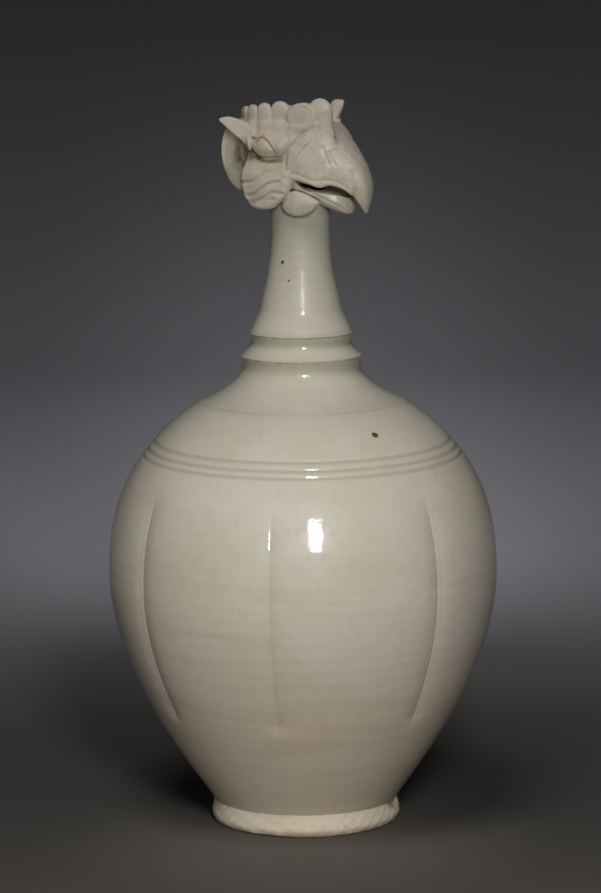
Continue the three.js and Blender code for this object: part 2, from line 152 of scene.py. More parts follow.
def cone_radius(z):
    """The neck's base: a concave cone from the shoulder to its waist, then a short flare to the lower
    collar."""
    down = np.clip((CONE_WAIST - z) / (CONE_WAIST - SHOULDER_TOP), 0, 1)
    flare = np.clip((z - CONE_WAIST) / (collar_low - CONE_WAIST), 0, 1)
    cone = (SHOULDER_RADIUS - CONE_WAIST_RADIUS) * down**1.85
    return CONE_WAIST_RADIUS + cone + (LOW_COLLAR_RADIUS - CONE_WAIST_RADIUS) * flare**2.4


def collar_radius(z):
    """The waisted ring between the two sharp collars."""
    down = np.clip((COLLAR_WAIST - z) / (COLLAR_WAIST - collar_low), 0, 1)
    flare = np.clip((z - COLLAR_WAIST) / (collar_high - COLLAR_WAIST), 0, 1)
    foot = (COLLAR_FOOT_RADIUS - COLLAR_WAIST_RADIUS) * down**1.7
    return COLLAR_WAIST_RADIUS + foot + (HIGH_COLLAR_RADIUS - COLLAR_WAIST_RADIUS) * flare**2.2


def tube_radius(z):
    """The tube tapers by a power law up to its straight stretch under the head, a little drawn in above the
    collar."""
    left = np.clip((TAPER_TOP - z) / (TAPER_TOP - collar_high), 0, 1)
    narrowing = TUBE_NARROWING * bump(z, TUBE_NARROWED_AT, 5)
    return NECK_RADIUS + (TUBE_FOOT_RADIUS - NECK_RADIUS) * left**2.15 - narrowing


def crease_turn(angle):
    """The angle in radians from each angle to the nearest crease."""
    turns = angle - np.radians(CREASES).reshape(-1, *[1] * np.ndim(angle))
    return np.abs(np.arctan2(np.sin(turns), np.cos(turns))).min(axis=0)


def crease_depth(z, angle):
    """How far the wall is pressed in: the nearest crease has a fine line within a soft valley, and fades out
    under the shoulder and above the foot."""
    away = crease_turn(angle) * body_radius(z)
    length = smooth((z - CREASE_LOW) / 9) * smooth((CREASE_HIGH - z) / 22)
    return length * sum(depth * bump(away, 0, width) for depth, width in CREASE_BELLS)


def line_depth(z):
    """The three lines incised round the shoulder."""
    return sum(LINE_DEPTH * bump(z, line, LINE_WIDTH) for line in SHOULDER_LINES)


def throwing_marks(z, angle):
    """Low rings left by the fingers, stronger on the lower half, that rise and fade round the pot."""
    patchy = 0.5 + 0.5 * np.sin(1.3 * angle + z / 13 + 1.1 * np.sin(angle - z / 31))
    strength = 0.012 + 0.04 * patchy * bump(z, 84, 24) + 0.015 * bump(z, 160, 20)
    spiral = z / 6.3 + angle / (2 * np.pi) + 0.35 * np.sin(2 * angle + z / 17)
    fine = z / 2.7 + 0.5 * np.sin(3 * angle + z / 9)
    return strength * np.sin(2 * np.pi * spiral) + 0.35 * strength * np.sin(2 * np.pi * fine)


def pot_angles():
    """The grid's columns, drawn together near each crease so that its line stays crisp: even, finer angles
    are weighed by their nearness to a crease, and the columns share out their summed weight evenly."""
    fine = np.linspace(-np.pi, np.pi, 10 * COLUMNS + 1)[:-1]
    weight = np.cumsum(1 + 5 * bump(crease_turn(fine), 0, 0.035))
    share = (weight - weight[0]) / (weight[-1] - weight[0] + 1)
    return np.interp(np.arange(COLUMNS) / COLUMNS, share, fine)


ANGLES = pot_angles()


def rows(*stops):
    """Heights between the stops, given as height and count pairs, drawn together towards each stop."""
    stretches = []
    for (first, _), (last, count) in zip(stops, stops[1:]):
        share = np.linspace(0, 1, count + 1)[:-1]
        stretches.append(first + (last - first) * (0.55 * share + 0.45 * smooth(share)))
    return np.concatenate(stretches + [[stops[-1][0]]])


def unshaded(z, angle):
    """No shade anywhere."""
    return np.zeros_like(z)


def thrown(name, profile, pressed, material, slot, hollow=unshaded, edge=unshaded, worn=unshaded):
    """A closed profile of (radius, height) rows carried round the pot's axis on a grid of row and angle.
    pressed(radius, z, angle) gives each grid point's radius, worn(z, angle) how far wear has raised it, and
    hollow and edge its shades. Poles are single vertices."""
    radius, z = np.array(profile, dtype=float).T
    r, height, angle = np.broadcast_arrays(radius[:, None], z[:, None], ANGLES[None, :])
    r = np.where(r > 0, pressed(r, height, angle), 0)
    grid = np.stack([r * np.cos(angle), r * np.sin(angle), height + worn(height, angle)], axis=-1)
    keep = radius > 0
    index = np.full(grid.shape[:2], -1)
    index[keep] = np.arange(keep.sum() * COLUMNS).reshape(-1, COLUMNS)
    points = grid[keep].reshape(-1, 3)
    for row in np.flatnonzero(~keep):
        index[row] = len(points)
        points = np.vstack([points, [[0, 0, z[row]]]])
    low, high = index, np.roll(index, -1, axis=0)
    if not keep.all():
        low, high = index[:-1], index[1:]
    quads = np.stack([low, np.roll(low, -1, axis=1), np.roll(high, -1, axis=1), high], axis=-1).reshape(-1, 4)
    tris = np.vstack([quads[:, [0, 1, 2]], quads[:, [0, 2, 3]]])
    tris = tris[(tris[:, 0] != tris[:, 1]) & (tris[:, 1] != tris[:, 2]) & (tris[:, 2] != tris[:, 0])]

    def spread(value):
        """A value of the grid as one number per vertex, with 0 at the poles."""
        return np.concatenate([value[keep].reshape(-1), np.zeros((~keep).sum())])

    corner = np.broadcast_to(joint_corners(radius, z)[:, None], height.shape)
    return finished(name, points, tris, name, material, slot, sharp=spread(corner).astype(bool),
                    hollow=spread(hollow(height, angle)), edge=spread(edge(height, angle)))


def joint_corners(radius, z):
    """True where the closed profile turns by more than 50 degrees."""
    step_in = np.stack([radius - np.roll(radius, 1), z - np.roll(z, 1)])
    step_out = np.stack([np.roll(radius, -1) - radius, np.roll(z, -1) - z])
    turn = np.arctan2(step_in[0] * step_out[1] - step_in[1] * step_out[0], (step_in * step_out).sum(axis=0))
    return np.abs(turn) > math.radians(50)


def foot_wear(z, angle):
    """How far the foot's worn lower edge rises above the ground."""
    waves = 0.5 + 0.3 * np.sin(3 * angle + 1) + 0.2 * np.sin(7 * angle) + 0.12 * np.sin(23 * angle + 2)
    low = np.clip(1 - z / 4, 0, 1)
    return low * 0.45 * np.clip(waves, 0, 1)


def foot_radius(r, z, angle):
    """The foot's outer face with its uneven edge, and the chip on the bird's front side."""
    outside = smooth((r - 44) / 3)
    ragged = 0.22 * np.sin(5 * angle + 0.6) + 0.14 * np.sin(17 * angle + z) + 0.1 * np.sin(41 * angle - z)
    chip = 2.6 * bump(np.degrees(angle), 3, 8) * bump(z, 12, 3) * (0.8 + 0.6 * np.sin(60 * angle + z))
    return r + outside * (ragged - 0.3 - chip)


def body_pressed(r, z, angle):
    """The body's grid radius: all rows take the creases and throwing marks, and outer rows the lines and the
    low ledge under the luted neck too. Above the foot the whole lies 0.2 mm inside the CAD body."""
    outer = r > body_radius(z) - 1
    marks = throwing_marks(z, angle) - line_depth(z) * outer
    ledge = 0.2 * bump(z, SHOULDER_TOP, 2.4) * outer
    fade = smooth((z - FOOT_TOP) / 6)
    return r - crease_depth(z, angle) + marks * fade + ledge - 0.2 * fade


def neck_pressed(r, z, angle):
    """Slight unevenness of the thrown neck, which begins above its joint with the body."""
    waves = 0.025 * np.sin(2 * np.pi * (z / 5.3 + angle / 6.28)) + 0.12 * np.sin(2 * angle + z / 23)
    return r + smooth((z - SHOULDER_TOP) / 8) * waves


def pot_hollow(z, angle):
    """Where glaze gathers on the body: in lines and creases and under the neck."""
    lines = sum(bump(z, line, LINE_WIDTH) for line in SHOULDER_LINES)
    return np.clip(0.8 * lines + 0.25 * crease_depth(z, angle) + 0.1 * smooth((z - 214) / 8), 0, 1)


def pot_edge(z, angle):
    """Where glaze runs thin on the body: the lip above each shoulder line."""
    lips = sum(bump(z, line + 1.7, 0.5) for line in SHOULDER_LINES)
    return np.clip(0.35 * lips, 0, 1)


def make_pot(body_glaze, bare_clay):
    """The six thrown pieces from the ground up. Each profile runs up the outside and down the inside."""
    foot = [(FOOT_RECESS, 0), (44, 0), (47.3, 0), (48.2, 0.35), (48.6, 1.2), (49.2, 2.6), (49.6, 4.2),
            (49.3, 6), (48.8, 8.2), (48.4, 10), (FOOT_WAIST, 11.2), (FOOT_WAIST, FOOT_TOP),
            (FOOT_RECESS, FOOT_TOP), (FOOT_RECESS, 8), (FOOT_RECESS, 4)]
    thrown("foot_ring", foot, foot_radius, bare_clay, "bare_foot", worn=foot_wear)

    z = rows((FOOT_TOP, 0), (CREASE_LOW, 40), (belly_height, 66))
    inner = rows((belly_height, 0), (FOOT_TOP + FLOOR, 24))
    profile = [(0, FOOT_TOP), (20, FOOT_TOP), (FOOT_RECESS, FOOT_TOP), *zip(body_radius(z), z),
               *zip(body_radius(inner) - BODY_WALL, inner), (20, FOOT_TOP + FLOOR), (0, FOOT_TOP + FLOOR)]
    thrown("lower_body", profile, body_pressed, body_glaze, "glazed_body", pot_hollow, pot_edge)

    z = rows((belly_height, 0), (LINED_LOW, 46), (LINED_HIGH, 46), (SHOULDER_TOP, 20))
    inner = rows((SHOULDER_TOP, 0), (belly_height, 24))
    profile = [*zip(body_radius(z), z), *zip(body_radius(inner) - BODY_WALL, inner)]
    thrown("upper_body", profile, body_pressed, body_glaze, "glazed_body", pot_hollow, pot_edge)

    z = rows((SHOULDER_TOP, 0), (CONE_WAIST, 26), (collar_low - 0.5, 14))
    rim = [(LOW_COLLAR_RADIUS - 0.35, collar_low - 0.15), (LOW_COLLAR_RADIUS - 0.8, collar_low)]
    inner = rows((collar_low, 0), (SHOULDER_TOP, 12))
    inner_radius = np.minimum(cone_radius(inner), CONE_WAIST_RADIUS) - NECK_WALL
    profile = [*zip(cone_radius(z), z), *rim, *zip(inner_radius, inner)]
    thrown("neck_base", profile, neck_pressed, body_glaze, "glazed_body",
           lambda z, angle: 0.1 + 0.6 * bump(z, CONE_WAIST + 1, 5),
           lambda z, angle: bump(z, collar_low, 0.9))

    z = rows((collar_low, 0), (COLLAR_WAIST, 16), (collar_high - 0.5, 12))
    rim = [(HIGH_COLLAR_RADIUS - 0.3, collar_high - 0.12), (HIGH_COLLAR_RADIUS - 0.7, collar_high)]
    bore = COLLAR_WAIST_RADIUS - NECK_WALL
    profile = [*zip(collar_radius(z), z), *rim, (bore, collar_high), (bore, COLLAR_WAIST), (bore, collar_low)]
    thrown("neck_collar", profile, neck_pressed, body_glaze, "glazed_body",
           lambda z, angle: 0.8 * bump(z, COLLAR_WAIST, 3) + 0.5 * bump(z, collar_low, 1),
           lambda z, angle: bump(z, collar_high, 0.9))

    z = rows((collar_high, 0), (TAPER_TOP, 60), (tube_top, 12))
    inner = rows((tube_top, 0), (collar_high, 24))
    profile = [*zip(tube_radius(z), z), *zip(np.minimum(tube_radius(inner) - NECK_WALL, bore), inner)]
    thrown("neck_tube", profile, neck_pressed, body_glaze, "glazed_body",
           lambda z, angle: 0.6 * bump(z, collar_high, 2.5))


# Clay of the head: each shape gives the distance from points to its surface, less than 0 inside


def round_line(places, count=40, closed=False):
    """A smooth line through the places: cubic Catmull-Rom stretches, cut into count steps."""
    places = np.array(places, dtype=float)
    if closed:
        ring = np.vstack([places[-1], places, places[0], places[1]])
    else:
        ring = np.vstack([2 * places[0] - places[1], places, 2 * places[-1] - places[-2]])
    spans = len(ring) - 3
    at = np.linspace(0, spans, count, endpoint=not closed)
    i = np.minimum(at.astype(int), spans - 1)
    t = (at - i)[:, None]
    a, b, c, d = ring[i], ring[i + 1], ring[i + 2], ring[i + 3]
    return 0.5 * (2 * b + (c - a) * t + (2 * a - 5 * b + 4 * c - d) * t**2 + (3 * b - a - 3 * c + d) * t**3)


class SideView:
    """Distances in the side view, worked out once on a grid of forward and height places and then read off
    between its four nearest corners."""

    STEP = 0.3
    FORWARD = np.arange(-46, 50, STEP)
    HEIGHT = np.arange(312, 386, STEP)

    def __init__(self, places, closed=False, count=48):
        """The distance to a round line through the places, or to the outline that a closed one makes."""
        line = round_line(places, count, closed)
        self.table = self.measured(line, closed)

    def measured(self, line, closed):
        """The distance from each grid place to the nearest stretch, less than 0 inside a closed line, where a
        ray forward crosses it an odd number of times."""
        x, z = np.meshgrid(self.FORWARD, self.HEIGHT, indexing="ij")
        spots = np.stack([x.ravel(), z.ravel()], axis=1)
        ends = np.roll(line, -1, axis=0) if closed else line[1:]
        starts = line if closed else line[:-1]
        nearest = np.full(len(spots), np.inf)
        crossings = np.zeros(len(spots), dtype=int)
        for start, end in zip(starts, ends):
            step = end - start
            share = np.clip((spots - start) @ step / (step @ step), 0, 1)
            nearest = np.minimum(nearest, np.linalg.norm(spots - start - share[:, None] * step, axis=1))
            if closed and start[1] != end[1]:
                between = (spots[:, 1] >= min(start[1], end[1])) & (spots[:, 1] < max(start[1], end[1]))
                crossings += between & (start[0] + (spots[:, 1] - start[1]) * step[0] / step[1] > spots[:, 0])
        sign = np.where(crossings % 2 == 1, -1, 1)
        return (nearest * sign).reshape(x.shape)

    def __call__(self, p):
        """The distance at each point, whatever its place across the head."""
        u = np.clip((p[:, 0] - self.FORWARD[0]) / self.STEP, 0, len(self.FORWARD) - 1.001)
        v = np.clip((p[:, 2] - self.HEIGHT[0]) / self.STEP, 0, len(self.HEIGHT) - 1.001)
        i, j = u.astype(int), v.astype(int)
        s, t = u - i, v - j
        low = self.table[i, j] * (1 - s) + self.table[i + 1, j] * s
        high = self.table[i, j + 1] * (1 - s) + self.table[i + 1, j + 1] * s
        return low * (1 - t) + high * t


def ball(p, middle, radii):
    """Distance to an ellipsoid, exact on its surface and close near it."""
    q = p - np.array(middle)
    k0 = np.linalg.norm(q / radii, axis=1)
    k1 = np.linalg.norm(q / np.square(radii), axis=1)
    return k0 * (k0 - 1) / np.maximum(k1, 1e-6)


def block(p, middle, halves, rounding):
    """Distance to a box with rounded edges."""
    q = np.abs(p - np.array(middle)) - np.array(halves) + rounding
    return np.linalg.norm(np.maximum(q, 0), axis=1) + np.minimum(q.max(axis=1), 0) - rounding


def rod(p, start, end, radius, end_radius=None):
    """Distance to a round-ended rod whose radius changes evenly along it."""
    start, step = np.array(start, float), np.subtract(end, start)
    share = np.clip((p - start) @ step / (step @ step), 0, 1)
    thick = radius + (radius if end_radius is None else end_radius) * share - radius * share
    return np.linalg.norm(p - start - share[:, None] * step, axis=1) - thick


def joined(a, b, k):
    """Union whose inner corner is filled over k."""
    h = np.maximum(k - np.abs(a - b), 0) / k
    return np.minimum(a, b) - h * h * k / 4


def common(a, b, k):
    """Intersection whose outer edge is rounded over k."""
    return -joined(-a, -b, k)


def slab(outline, face, half, rounding):
    """Distance to a flat piece with a side-view outline, from its distance to the outline and to its middle
    surface, with its edge rounded."""
    across = outline + rounding
    through = np.abs(face) - half + rounding
    outside = np.hypot(np.maximum(across, 0), np.maximum(through, 0))
    return outside + np.minimum(np.maximum(across, through), 0) - rounding


def cut(distance, width, depth):
    """A tooled groove: its depth falls off from its line as a bell curve."""
    return depth * bump(distance, 0, width)


# Side-view lines of the head, as (forward, height) places: first those that several forms share

RIDGE_LINE = [(17.6, 366.2), (22.2, 363.6), (29.6, 353.7), (35.8, 344.8), (39.5, 335.1), (39.4, 327.2)]
LIP_LINE = [
    (1.5, 339.3), (8.2, 337.5), (12, 335.7), (15, 334.5), (18.8, 334.6), (21.4, 335.3), (24.2, 334.8),
    (28.8, 332.6), (32.7, 327.9), (35.2, 322.3), (37.1, 319.9)]
STRAP_LINE = [(10.9, 364.2), (8.2, 360.8), (5, 357), (2.4, 353.8), (0.5, 349), (0.1, 344), (0.6, 340)]

CULMEN = SideView([
    (-12, 366), (2, 366.8), (11, 367), *RIDGE_LINE, (37.1, 319.9), (35.2, 322.3), (34, 325), (32.7, 327.9),
    (31, 330.4), (28.8, 332.6), (26.5, 334), (24.2, 334.8), (21.4, 335.3), (18.8, 334.6), (17.2, 334.1),
    (15, 334.5), (12, 335.7), (8.2, 337.5), (4.6, 338.6), (1.5, 339.3), (-12, 341)], closed=True, count=160)
RIDGE = SideView([(-12, 370), (2, 368.5), (11, 368), *RIDGE_LINE, (36.9, 319.8)], count=70)
SCOOP = SideView([
    (-8, 338), (1.5, 337.2), (4.8, 336), (7.6, 334.3), (11.1, 332.8), (14.2, 332), (17, 331.4),
    (20.6, 330.5), (24, 330), (26.2, 329.9), (28, 328.2), (29.5, 325.2), (29.8, 322), (28.2, 319.6),
    (22.7, 320.8), (15.5, 323.4), (8.6, 325.2), (0, 326.5), (-8, 327.5)], closed=True, count=110)
KEEL = SideView([
    (-10, 327.5), (0, 326.5), (8.6, 325.4), (15.5, 323.6), (22.7, 321), (28.4, 319.8), (30.5, 323),
    (29.5, 330)], count=50)
EAR = SideView([
    (-34.2, 369), (-30.8, 370.2), (-27, 369.3), (-22.6, 367.9), (-19, 365.6), (-17.2, 362.2), (-18.2, 358),
    (-20.2, 354.8), (-23.8, 358), (-27.8, 361.6), (-31.4, 365.4)], closed=True)
NAPE = SideView([
    (-33, 364.5), (-36.8, 360), (-38.6, 353), (-38, 344), (-35.7, 337), (-31.5, 333), (-27.5, 331.3),
    (-24.2, 333), (-22, 340), (-21, 350), (-21.8, 360), (-27, 364)], closed=True)
BOSS = SideView([
    (-20.4, 357.6), (-18.8, 354), (-16, 351), (-12.4, 349.4), (-7, 349.3), (-2, 350), (1.8, 352.4),
    (3.2, 356.2), (1.2, 360.6), (-3.5, 363.4), (-10, 364.4), (-16, 363), (-19.6, 360.8)], closed=True)
EYE = SideView([
    (-15.9, 354), (-14.8, 357.6), (-12.2, 360), (-8.6, 358.2), (-5.8, 354.8), (-4.5, 352.4), (-7.5, 351.4),
    (-11.8, 351.2), (-14.8, 352)], closed=True)
LID = SideView([(-15, 359.2), (-12.3, 360.6), (-10, 360), (-7.9, 357.8), (-5.2, 354.4), (-4, 352.2)])
FEATHERS = SideView([
    (-21.6, 351.5), (-24, 344), (-24.4, 336), (-22, 328.5), (-17.3, 323.6), (-11.5, 322.8), (-5.8, 323.9),
    (-1.4, 328), (1.6, 331.4), (3, 334.6), (3, 339), (1, 347), (-3.6, 354), (-12, 357)], closed=True)
WATTLE = SideView([
    (4, 332.6), (-0.5, 330), (-2.9, 325.5), (-0.6, 321.5), (6, 319.6), (12, 321.2), (15.5, 324.4),
    (16.9, 327), (13, 329.8), (9, 331.8)], closed=True)
STRAP_REAR = SideView([(12.6, 366), *STRAP_LINE])
STRAP_MIDDLE = SideView([
    (14.4, 363.2), (12.4, 360), (9.2, 356.4), (6.2, 352.6), (4, 348.4), (3, 344.2), (2.8, 341)])
STRAP_FRONT = SideView([
    (16.6, 364.4), (15, 360.8), (12.4, 357.2), (9.4, 353.8), (6.8, 349.8), (5.3, 345.4), (4.9, 341)])
LIP_EDGE = SideView(LIP_LINE)
OVERHANG = SideView([(-18.4, 351.8), (-15.6, 349), (-12, 347.6), (-8, 347.5), (-4, 348)])
TIP_FACET = SideView([(33.2, 343), (34.6, 338), (33.8, 332), (32, 328.4)])

# Tooled lines: the line, its width and its depth
GROOVES = [
    (SideView([(-23.4, 336.3), (-19.9, 336.7), (-16.5, 337.8), (-13.3, 340.8), (-10.4, 343), (-4.7, 344.2),
               (0, 343.4)]), 0.8, 0.85),
    (SideView([(-20.6, 329.8), (-16.3, 330.7), (-12.6, 333.1), (-9, 335.9), (-2.9, 337.4)]), 0.75, 0.85),
    (SideView([(-18, 325.9), (-16.3, 326.8), (-10.6, 329), (-6.5, 331.6), (-1.2, 331.2)]), 0.75, 0.8),
    (SideView([(-13.6, 326), (-9.4, 327.8), (-5.6, 328.6)]), 0.5, 0.3),
]
NOSTRILS = [
    (SideView([(19.4, 354.6), (20.5, 352), (21.3, 349.4), (22.2, 345.6)]), 1.1, 0.75),
    (SideView([(22.8, 352.8), (24, 350), (25.5, 346.2)]), 0.8, 0.8),
    (SideView([(24.8, 353.6), (28.4, 350), (32.6, 345.4)]), 1.3, 0.6),
    (SideView([(20.4, 355), (23, 356), (26.4, 356.8)]), 0.9, 0.3),
]
BEAK_LINES = [
    (SideView([(4, 341.4), (9.5, 339.8), (14.4, 337.8), (20.7, 338.2), (26, 336.8), (30.4, 333.6)]),
     0.9, 0.3),
    (TIP_FACET, 0.9, 0.3),
]
SCOOP_LINES = [
    (SideView([(7, 334.4), (9.5, 332.8), (13.7, 330.5), (17.7, 328.2), (23.6, 325), (27, 322.4)]), 0.8, 0.5),
    (SideView([(12, 329.4), (16, 327.2), (21, 324.6), (25, 322.6)]), 0.6, 0.14),
]

# Brown stains of thin glaze: the line, its width and its strength
STAINS = [
    (LID, 0.8, 1.0),
    (LIP_EDGE, 1.1, 0.5),
    (TIP_FACET, 1.3, 0.45),
    (SideView([(-11, 342.6), (-6, 343.6), (-2.6, 342.4), (0.6, 340)]), 1.5, 0.55),
    (SideView([(-19, 327.6), (-17, 330), (-13, 331.6)]), 1.5, 0.45),
    (SideView([(-20.5, 339.6), (-16, 340.2), (-11, 344.4)]), 1.3, 0.25),
]


def read_off(points):
    """A function that reads a width or a height off along a measure, between given stops."""
    stops, values = np.array(points, dtype=float).T
    return lambda measure: np.interp(measure, stops, values)


# Half widths of the upper beak and the share of them left at its ridge, by the distance to the tip
BEAK_WIDTH = read_off([
    (0, 2.6), (4, 4.6), (8, 6.6), (15, 10.4), (23, 13.8), (28, 15.6), (36, 17.6), (46, 18.6), (60, 19)])
CULMEN_SHARE = read_off([(0, 0.5), (12, 0.34), (25, 0.26), (36, 0.26), (46, 0.36), (60, 0.8)])

# Heights and half widths of the mouth's parts, by the place forward
LIP_HEIGHT = read_off([(-2, 340), *LIP_LINE])
CHIN_HEIGHT = read_off([
    (-2, 338.9), (1.5, 338.5), (4.8, 337.7), (8.2, 336.3), (14.8, 333.5), (20.7, 333), (27.8, 331.2),
    (38, 316)])
SCOOP_WIDTH = read_off([
    (-5, 16.4), (0, 16), (10, 14.4), (15, 13.2), (18, 12.2), (24.5, 9.2), (27.5, 6.8), (29.5, 3.6)])
SCOOP_FLOOR = read_off([(3, 334.6), (8.6, 332.8), (15.5, 331), (22.7, 329), (27, 328.4)])

# Where the beak begins, by height: the strap's rear line, carried on below and above
STRAP_FORWARD = read_off([
    (320, 6), *[(height, forward) for forward, height in reversed(STRAP_LINE)], (368, 14.4), (372, 18)])

EAR_THICKNESS = read_off([(-35, 0.8), (-30, 1.2), (-22, 1.7), (-17, 2.1)])
BEAK_TIP = (38, 320)

# Plain forms of the head: an egg's middle and radii, a block's middle, halves and rounding, or a rod's ends
# and radii
SKULL_EGG = (-8, 0, 349), (24.5, 19, 19.5)
CROWN_BLOCK = (-8.5, 0, 357), (20.5, 16.5, 10.5), 7
SNOUT_EGG = (4, 0, 349), (17, 17.6, 15)
NECK_SEAT = (0, 0, 318), (-2, 0, 338), NECK_RADIUS + 0.1, NECK_RADIUS + 1
NAPE_DIMPLE = (-25.4, 18.4, 351.4), (5.6, 6.4, 8)
THROAT = (-12, 0, 338), (16, 0, 333), 4.6
MOUTH_EGG = (15, 0, 334.5), (15, 11.5, 5.5)
HOLLOW_EGG = (-8, 0, 350), (19.5, 14.2, 14)
CROWN_OPENING = (-8, 0, 350), (-8, 0, 380), 9.4, 10.4
NECK_BORE = (0, 0, 310), (-3, 0, 342), NECK_RADIUS - NECK_WALL
EYE_PIT = (-17.2, -22.6, 359.4), (1.9, 3.4, 1.7)
EYE_FLAP = (-19.2, -19.8, 356), (1.5, 2.6, 3.2)
PINHOLE = (23.2, -2.6, 334), (23.6, -2.6, 327.4), 0.6


def tip_distance(p):
    """How far a point is from the beak's tip in the side view."""
    return np.hypot(p[:, 0] - BEAK_TIP[0], p[:, 2] - BEAK_TIP[1])


def upper_beak_clay(p):
    """The hooked beak: a side-view outline whose half width shrinks with the distance to the tip and is drawn
    in towards the ridge as a circle is, so that a flat ridge of its own width is left."""
    tip, reach = tip_distance(p), 11
    depth = np.clip(RIDGE(p) / reach, 0, 1)
    share, full = CULMEN_SHARE(tip), BEAK_WIDTH(tip)
    arc = np.sqrt(np.maximum(1 - (1 - depth) ** 2, 0.01))
    slope = full * (1 - share) * (1 - depth) / (reach * arc)
    flank = (np.abs(p[:, 1]) - full * (share + (1 - share) * arc)) / np.sqrt(1.3 + slope**2)
    rounding = 1.1 + 1.2 * smooth((9 - RIDGE(p)) / 4)
    return common(flank, CULMEN(p), rounding)


def palate_space(p):
    """The arched hollow under the upper beak, as deep as half its width and open below."""
    side = np.abs(p[:, 1])
    inner = np.maximum(BEAK_WIDTH(tip_distance(p)) - 2.3, 0.1)
    arch = 0.55 * inner * np.sqrt(np.maximum(1 - (side / inner) ** 2, 0))
    space = common(side - inner, 0.8 * (p[:, 2] - LIP_HEIGHT(p[:, 0]) - arch), 1.4)
    return common(common(space, 4.2 - RIDGE(p), 1.4), 5 - p[:, 0], 2)


def lower_beak_clay(p):
    """A boat-shaped lower beak with a shallow scoop, a pinhole in the glaze that pooled there, and two lines
    along its sides."""
    x, side = p[:, 0], np.abs(p[:, 1])
    full = SCOOP_WIDTH(x)
    rise = np.clip(KEEL(p) / 7.5, 0, 1)
    half = full * (0.28 + 0.72 * np.sqrt(np.maximum(1 - (1 - rise) ** 2, 0)))
    boat = common(0.85 * (side - half), SCOOP(p), 0.9)
    floor = SCOOP_FLOOR(x) + 0.007 * side**2
    scoop = common(common(0.85 * (side - full + 1.4), 1.7 - KEEL(p), 1.2), floor - p[:, 2], 1)
    clay = common(boat, -common(scoop, 3 - x, 1), 0.6)
    outer = smooth((side - 0.7 * half) / 1.5)
    for line, width, depth in SCOOP_LINES:
        clay = clay + cut(line(p), width, depth) * outer
    return np.maximum(clay, -rod(p, *PINHOLE))


def skull_clay(p):
    """The head's core: an egg, a flattened crown, a snout under the strap and the seat on the neck."""
    q = np.column_stack([p[:, 0], np.abs(p[:, 1]), p[:, 2]])
    clay = joined(joined(ball(q, *SKULL_EGG), block(q, *CROWN_BLOCK), 5), ball(q, *SNOUT_EGG), 5)
    clay = joined(clay, rod(p, *NECK_SEAT), 6)
    return common(clay, -ball(q, *NAPE_DIMPLE), 2)


def mouth_space(p):
    """The throat, the mouth's hollow and the palate."""
    return joined(joined(rod(p, *THROAT), ball(p, *MOUTH_EGG), 3), palate_space(p), 1)


def head_hollow(p):
    """The space inside the skull, open at the crown and to the neck."""
    return joined(joined(ball(p, *HOLLOW_EGG), rod(p, *CROWN_OPENING), 3), rod(p, *NECK_BORE), 3)


def carved_core(p):
    """Skull, snout and upper beak as one body with the carving on them. The nostril's strokes run out at
    their lower ends."""
    clay = joined(skull_clay(p), upper_beak_clay(p), 4)
    band = smooth((3.4 - STRAP_MIDDLE(p)) / 2) * smooth((p[:, 2] - 338) / 3) * smooth((366 - p[:, 2]) / 5)
    clay = clay - 0.5 * band + cut(STRAP_REAR(p), 1.1, 0.6) + cut(STRAP_FRONT(p), 0.9, 0.75)
    clay = clay + cut(STRAP_MIDDLE(p), 0.6, 0.35) + cut(OVERHANG(p), 2.4, 1.8)
    flank, fading = smooth((np.abs(p[:, 1]) - 3) / 4), smooth((p[:, 2] - 344.6) / 2.6)
    for line, width, depth in NOSTRILS:
        clay = clay + cut(line(p), width, depth) * flank * fading
    for line, width, depth in BEAK_LINES:
        clay = clay + cut(line(p), width, depth) * flank
    return clay


def pierced_core(p):
    """The core without the mouth and the hollow of the head."""
    clay = common(carved_core(p), -mouth_space(p), 1)
    return np.maximum(clay, -head_hollow(p))


def beak_share(p):
    """Less than 0 on the beak's side of the strap's rear line, as a surface through the head."""
    return STRAP_FORWARD(p[:, 2]) - p[:, 0]


# Applied pieces of the right side: out is the distance from the middle plane


def boss_face(p):
    """How far out the swollen eye socket reaches, with its bulge in front of the eye and its lower roll."""
    x, z = p[:, 0], p[:, 2]
    dome = 2.9 * (1 - np.exp(np.minimum(BOSS(p), 0) / 3.2))
    bulge = 1.3 * np.exp(-(((x + 1.4) / 3.4) ** 2) - ((z - 354.8) / 3.6) ** 2)
    fall = 2.4 * smooth((z - 357.5) / 8) + 1.2 * smooth((x + 1) / 6)
    return 20 + dome + bulge - fall


def brow_clay(p):
    """The eye socket: a boss with a crisp lower edge, a lid that arches over the sunken bed of the eye, and a
    flap and a pit behind the eye."""
    out, bed = -p[:, 1], smooth((0.4 - EYE(p)) / 0.8)
    face = boss_face(p) - lid_shade(p) * bed + 0.35 * bump(LID(p), 0, 0.9)
    clay = common(BOSS(p), 0.9 * (out - face), 2)
    clay = np.maximum(clay, 15 - out)
    return joined(common(clay, -ball(p, *EYE_PIT), 1), ball(p, *EYE_FLAP), 0.4)


def lid_shade(p):
    """How deep the eye's bed is sunk: most under the lid, little at the lower rear rim."""
    return 0.5 + 0.9 * bump(LID(p), 0, 2.2)


def eye_clay(p):
    """The eye: a pointed pillow with fine upright ribs in the bed under the lid."""
    pillow = 0.8 * (1 - np.exp(np.minimum(EYE(p), 0) / 1.6))
    ribs = 0.08 * np.sin((p[:, 0] + 10.5) * (4.2 - 0.16 * (p[:, 2] - 350)))
    face = boss_face(p) + 0.3 - lid_shade(p) + pillow + ribs
    return np.maximum(common(EYE(p) - 0.2, 0.9 * (-p[:, 1] - face), 0.4), 19 + p[:, 1])


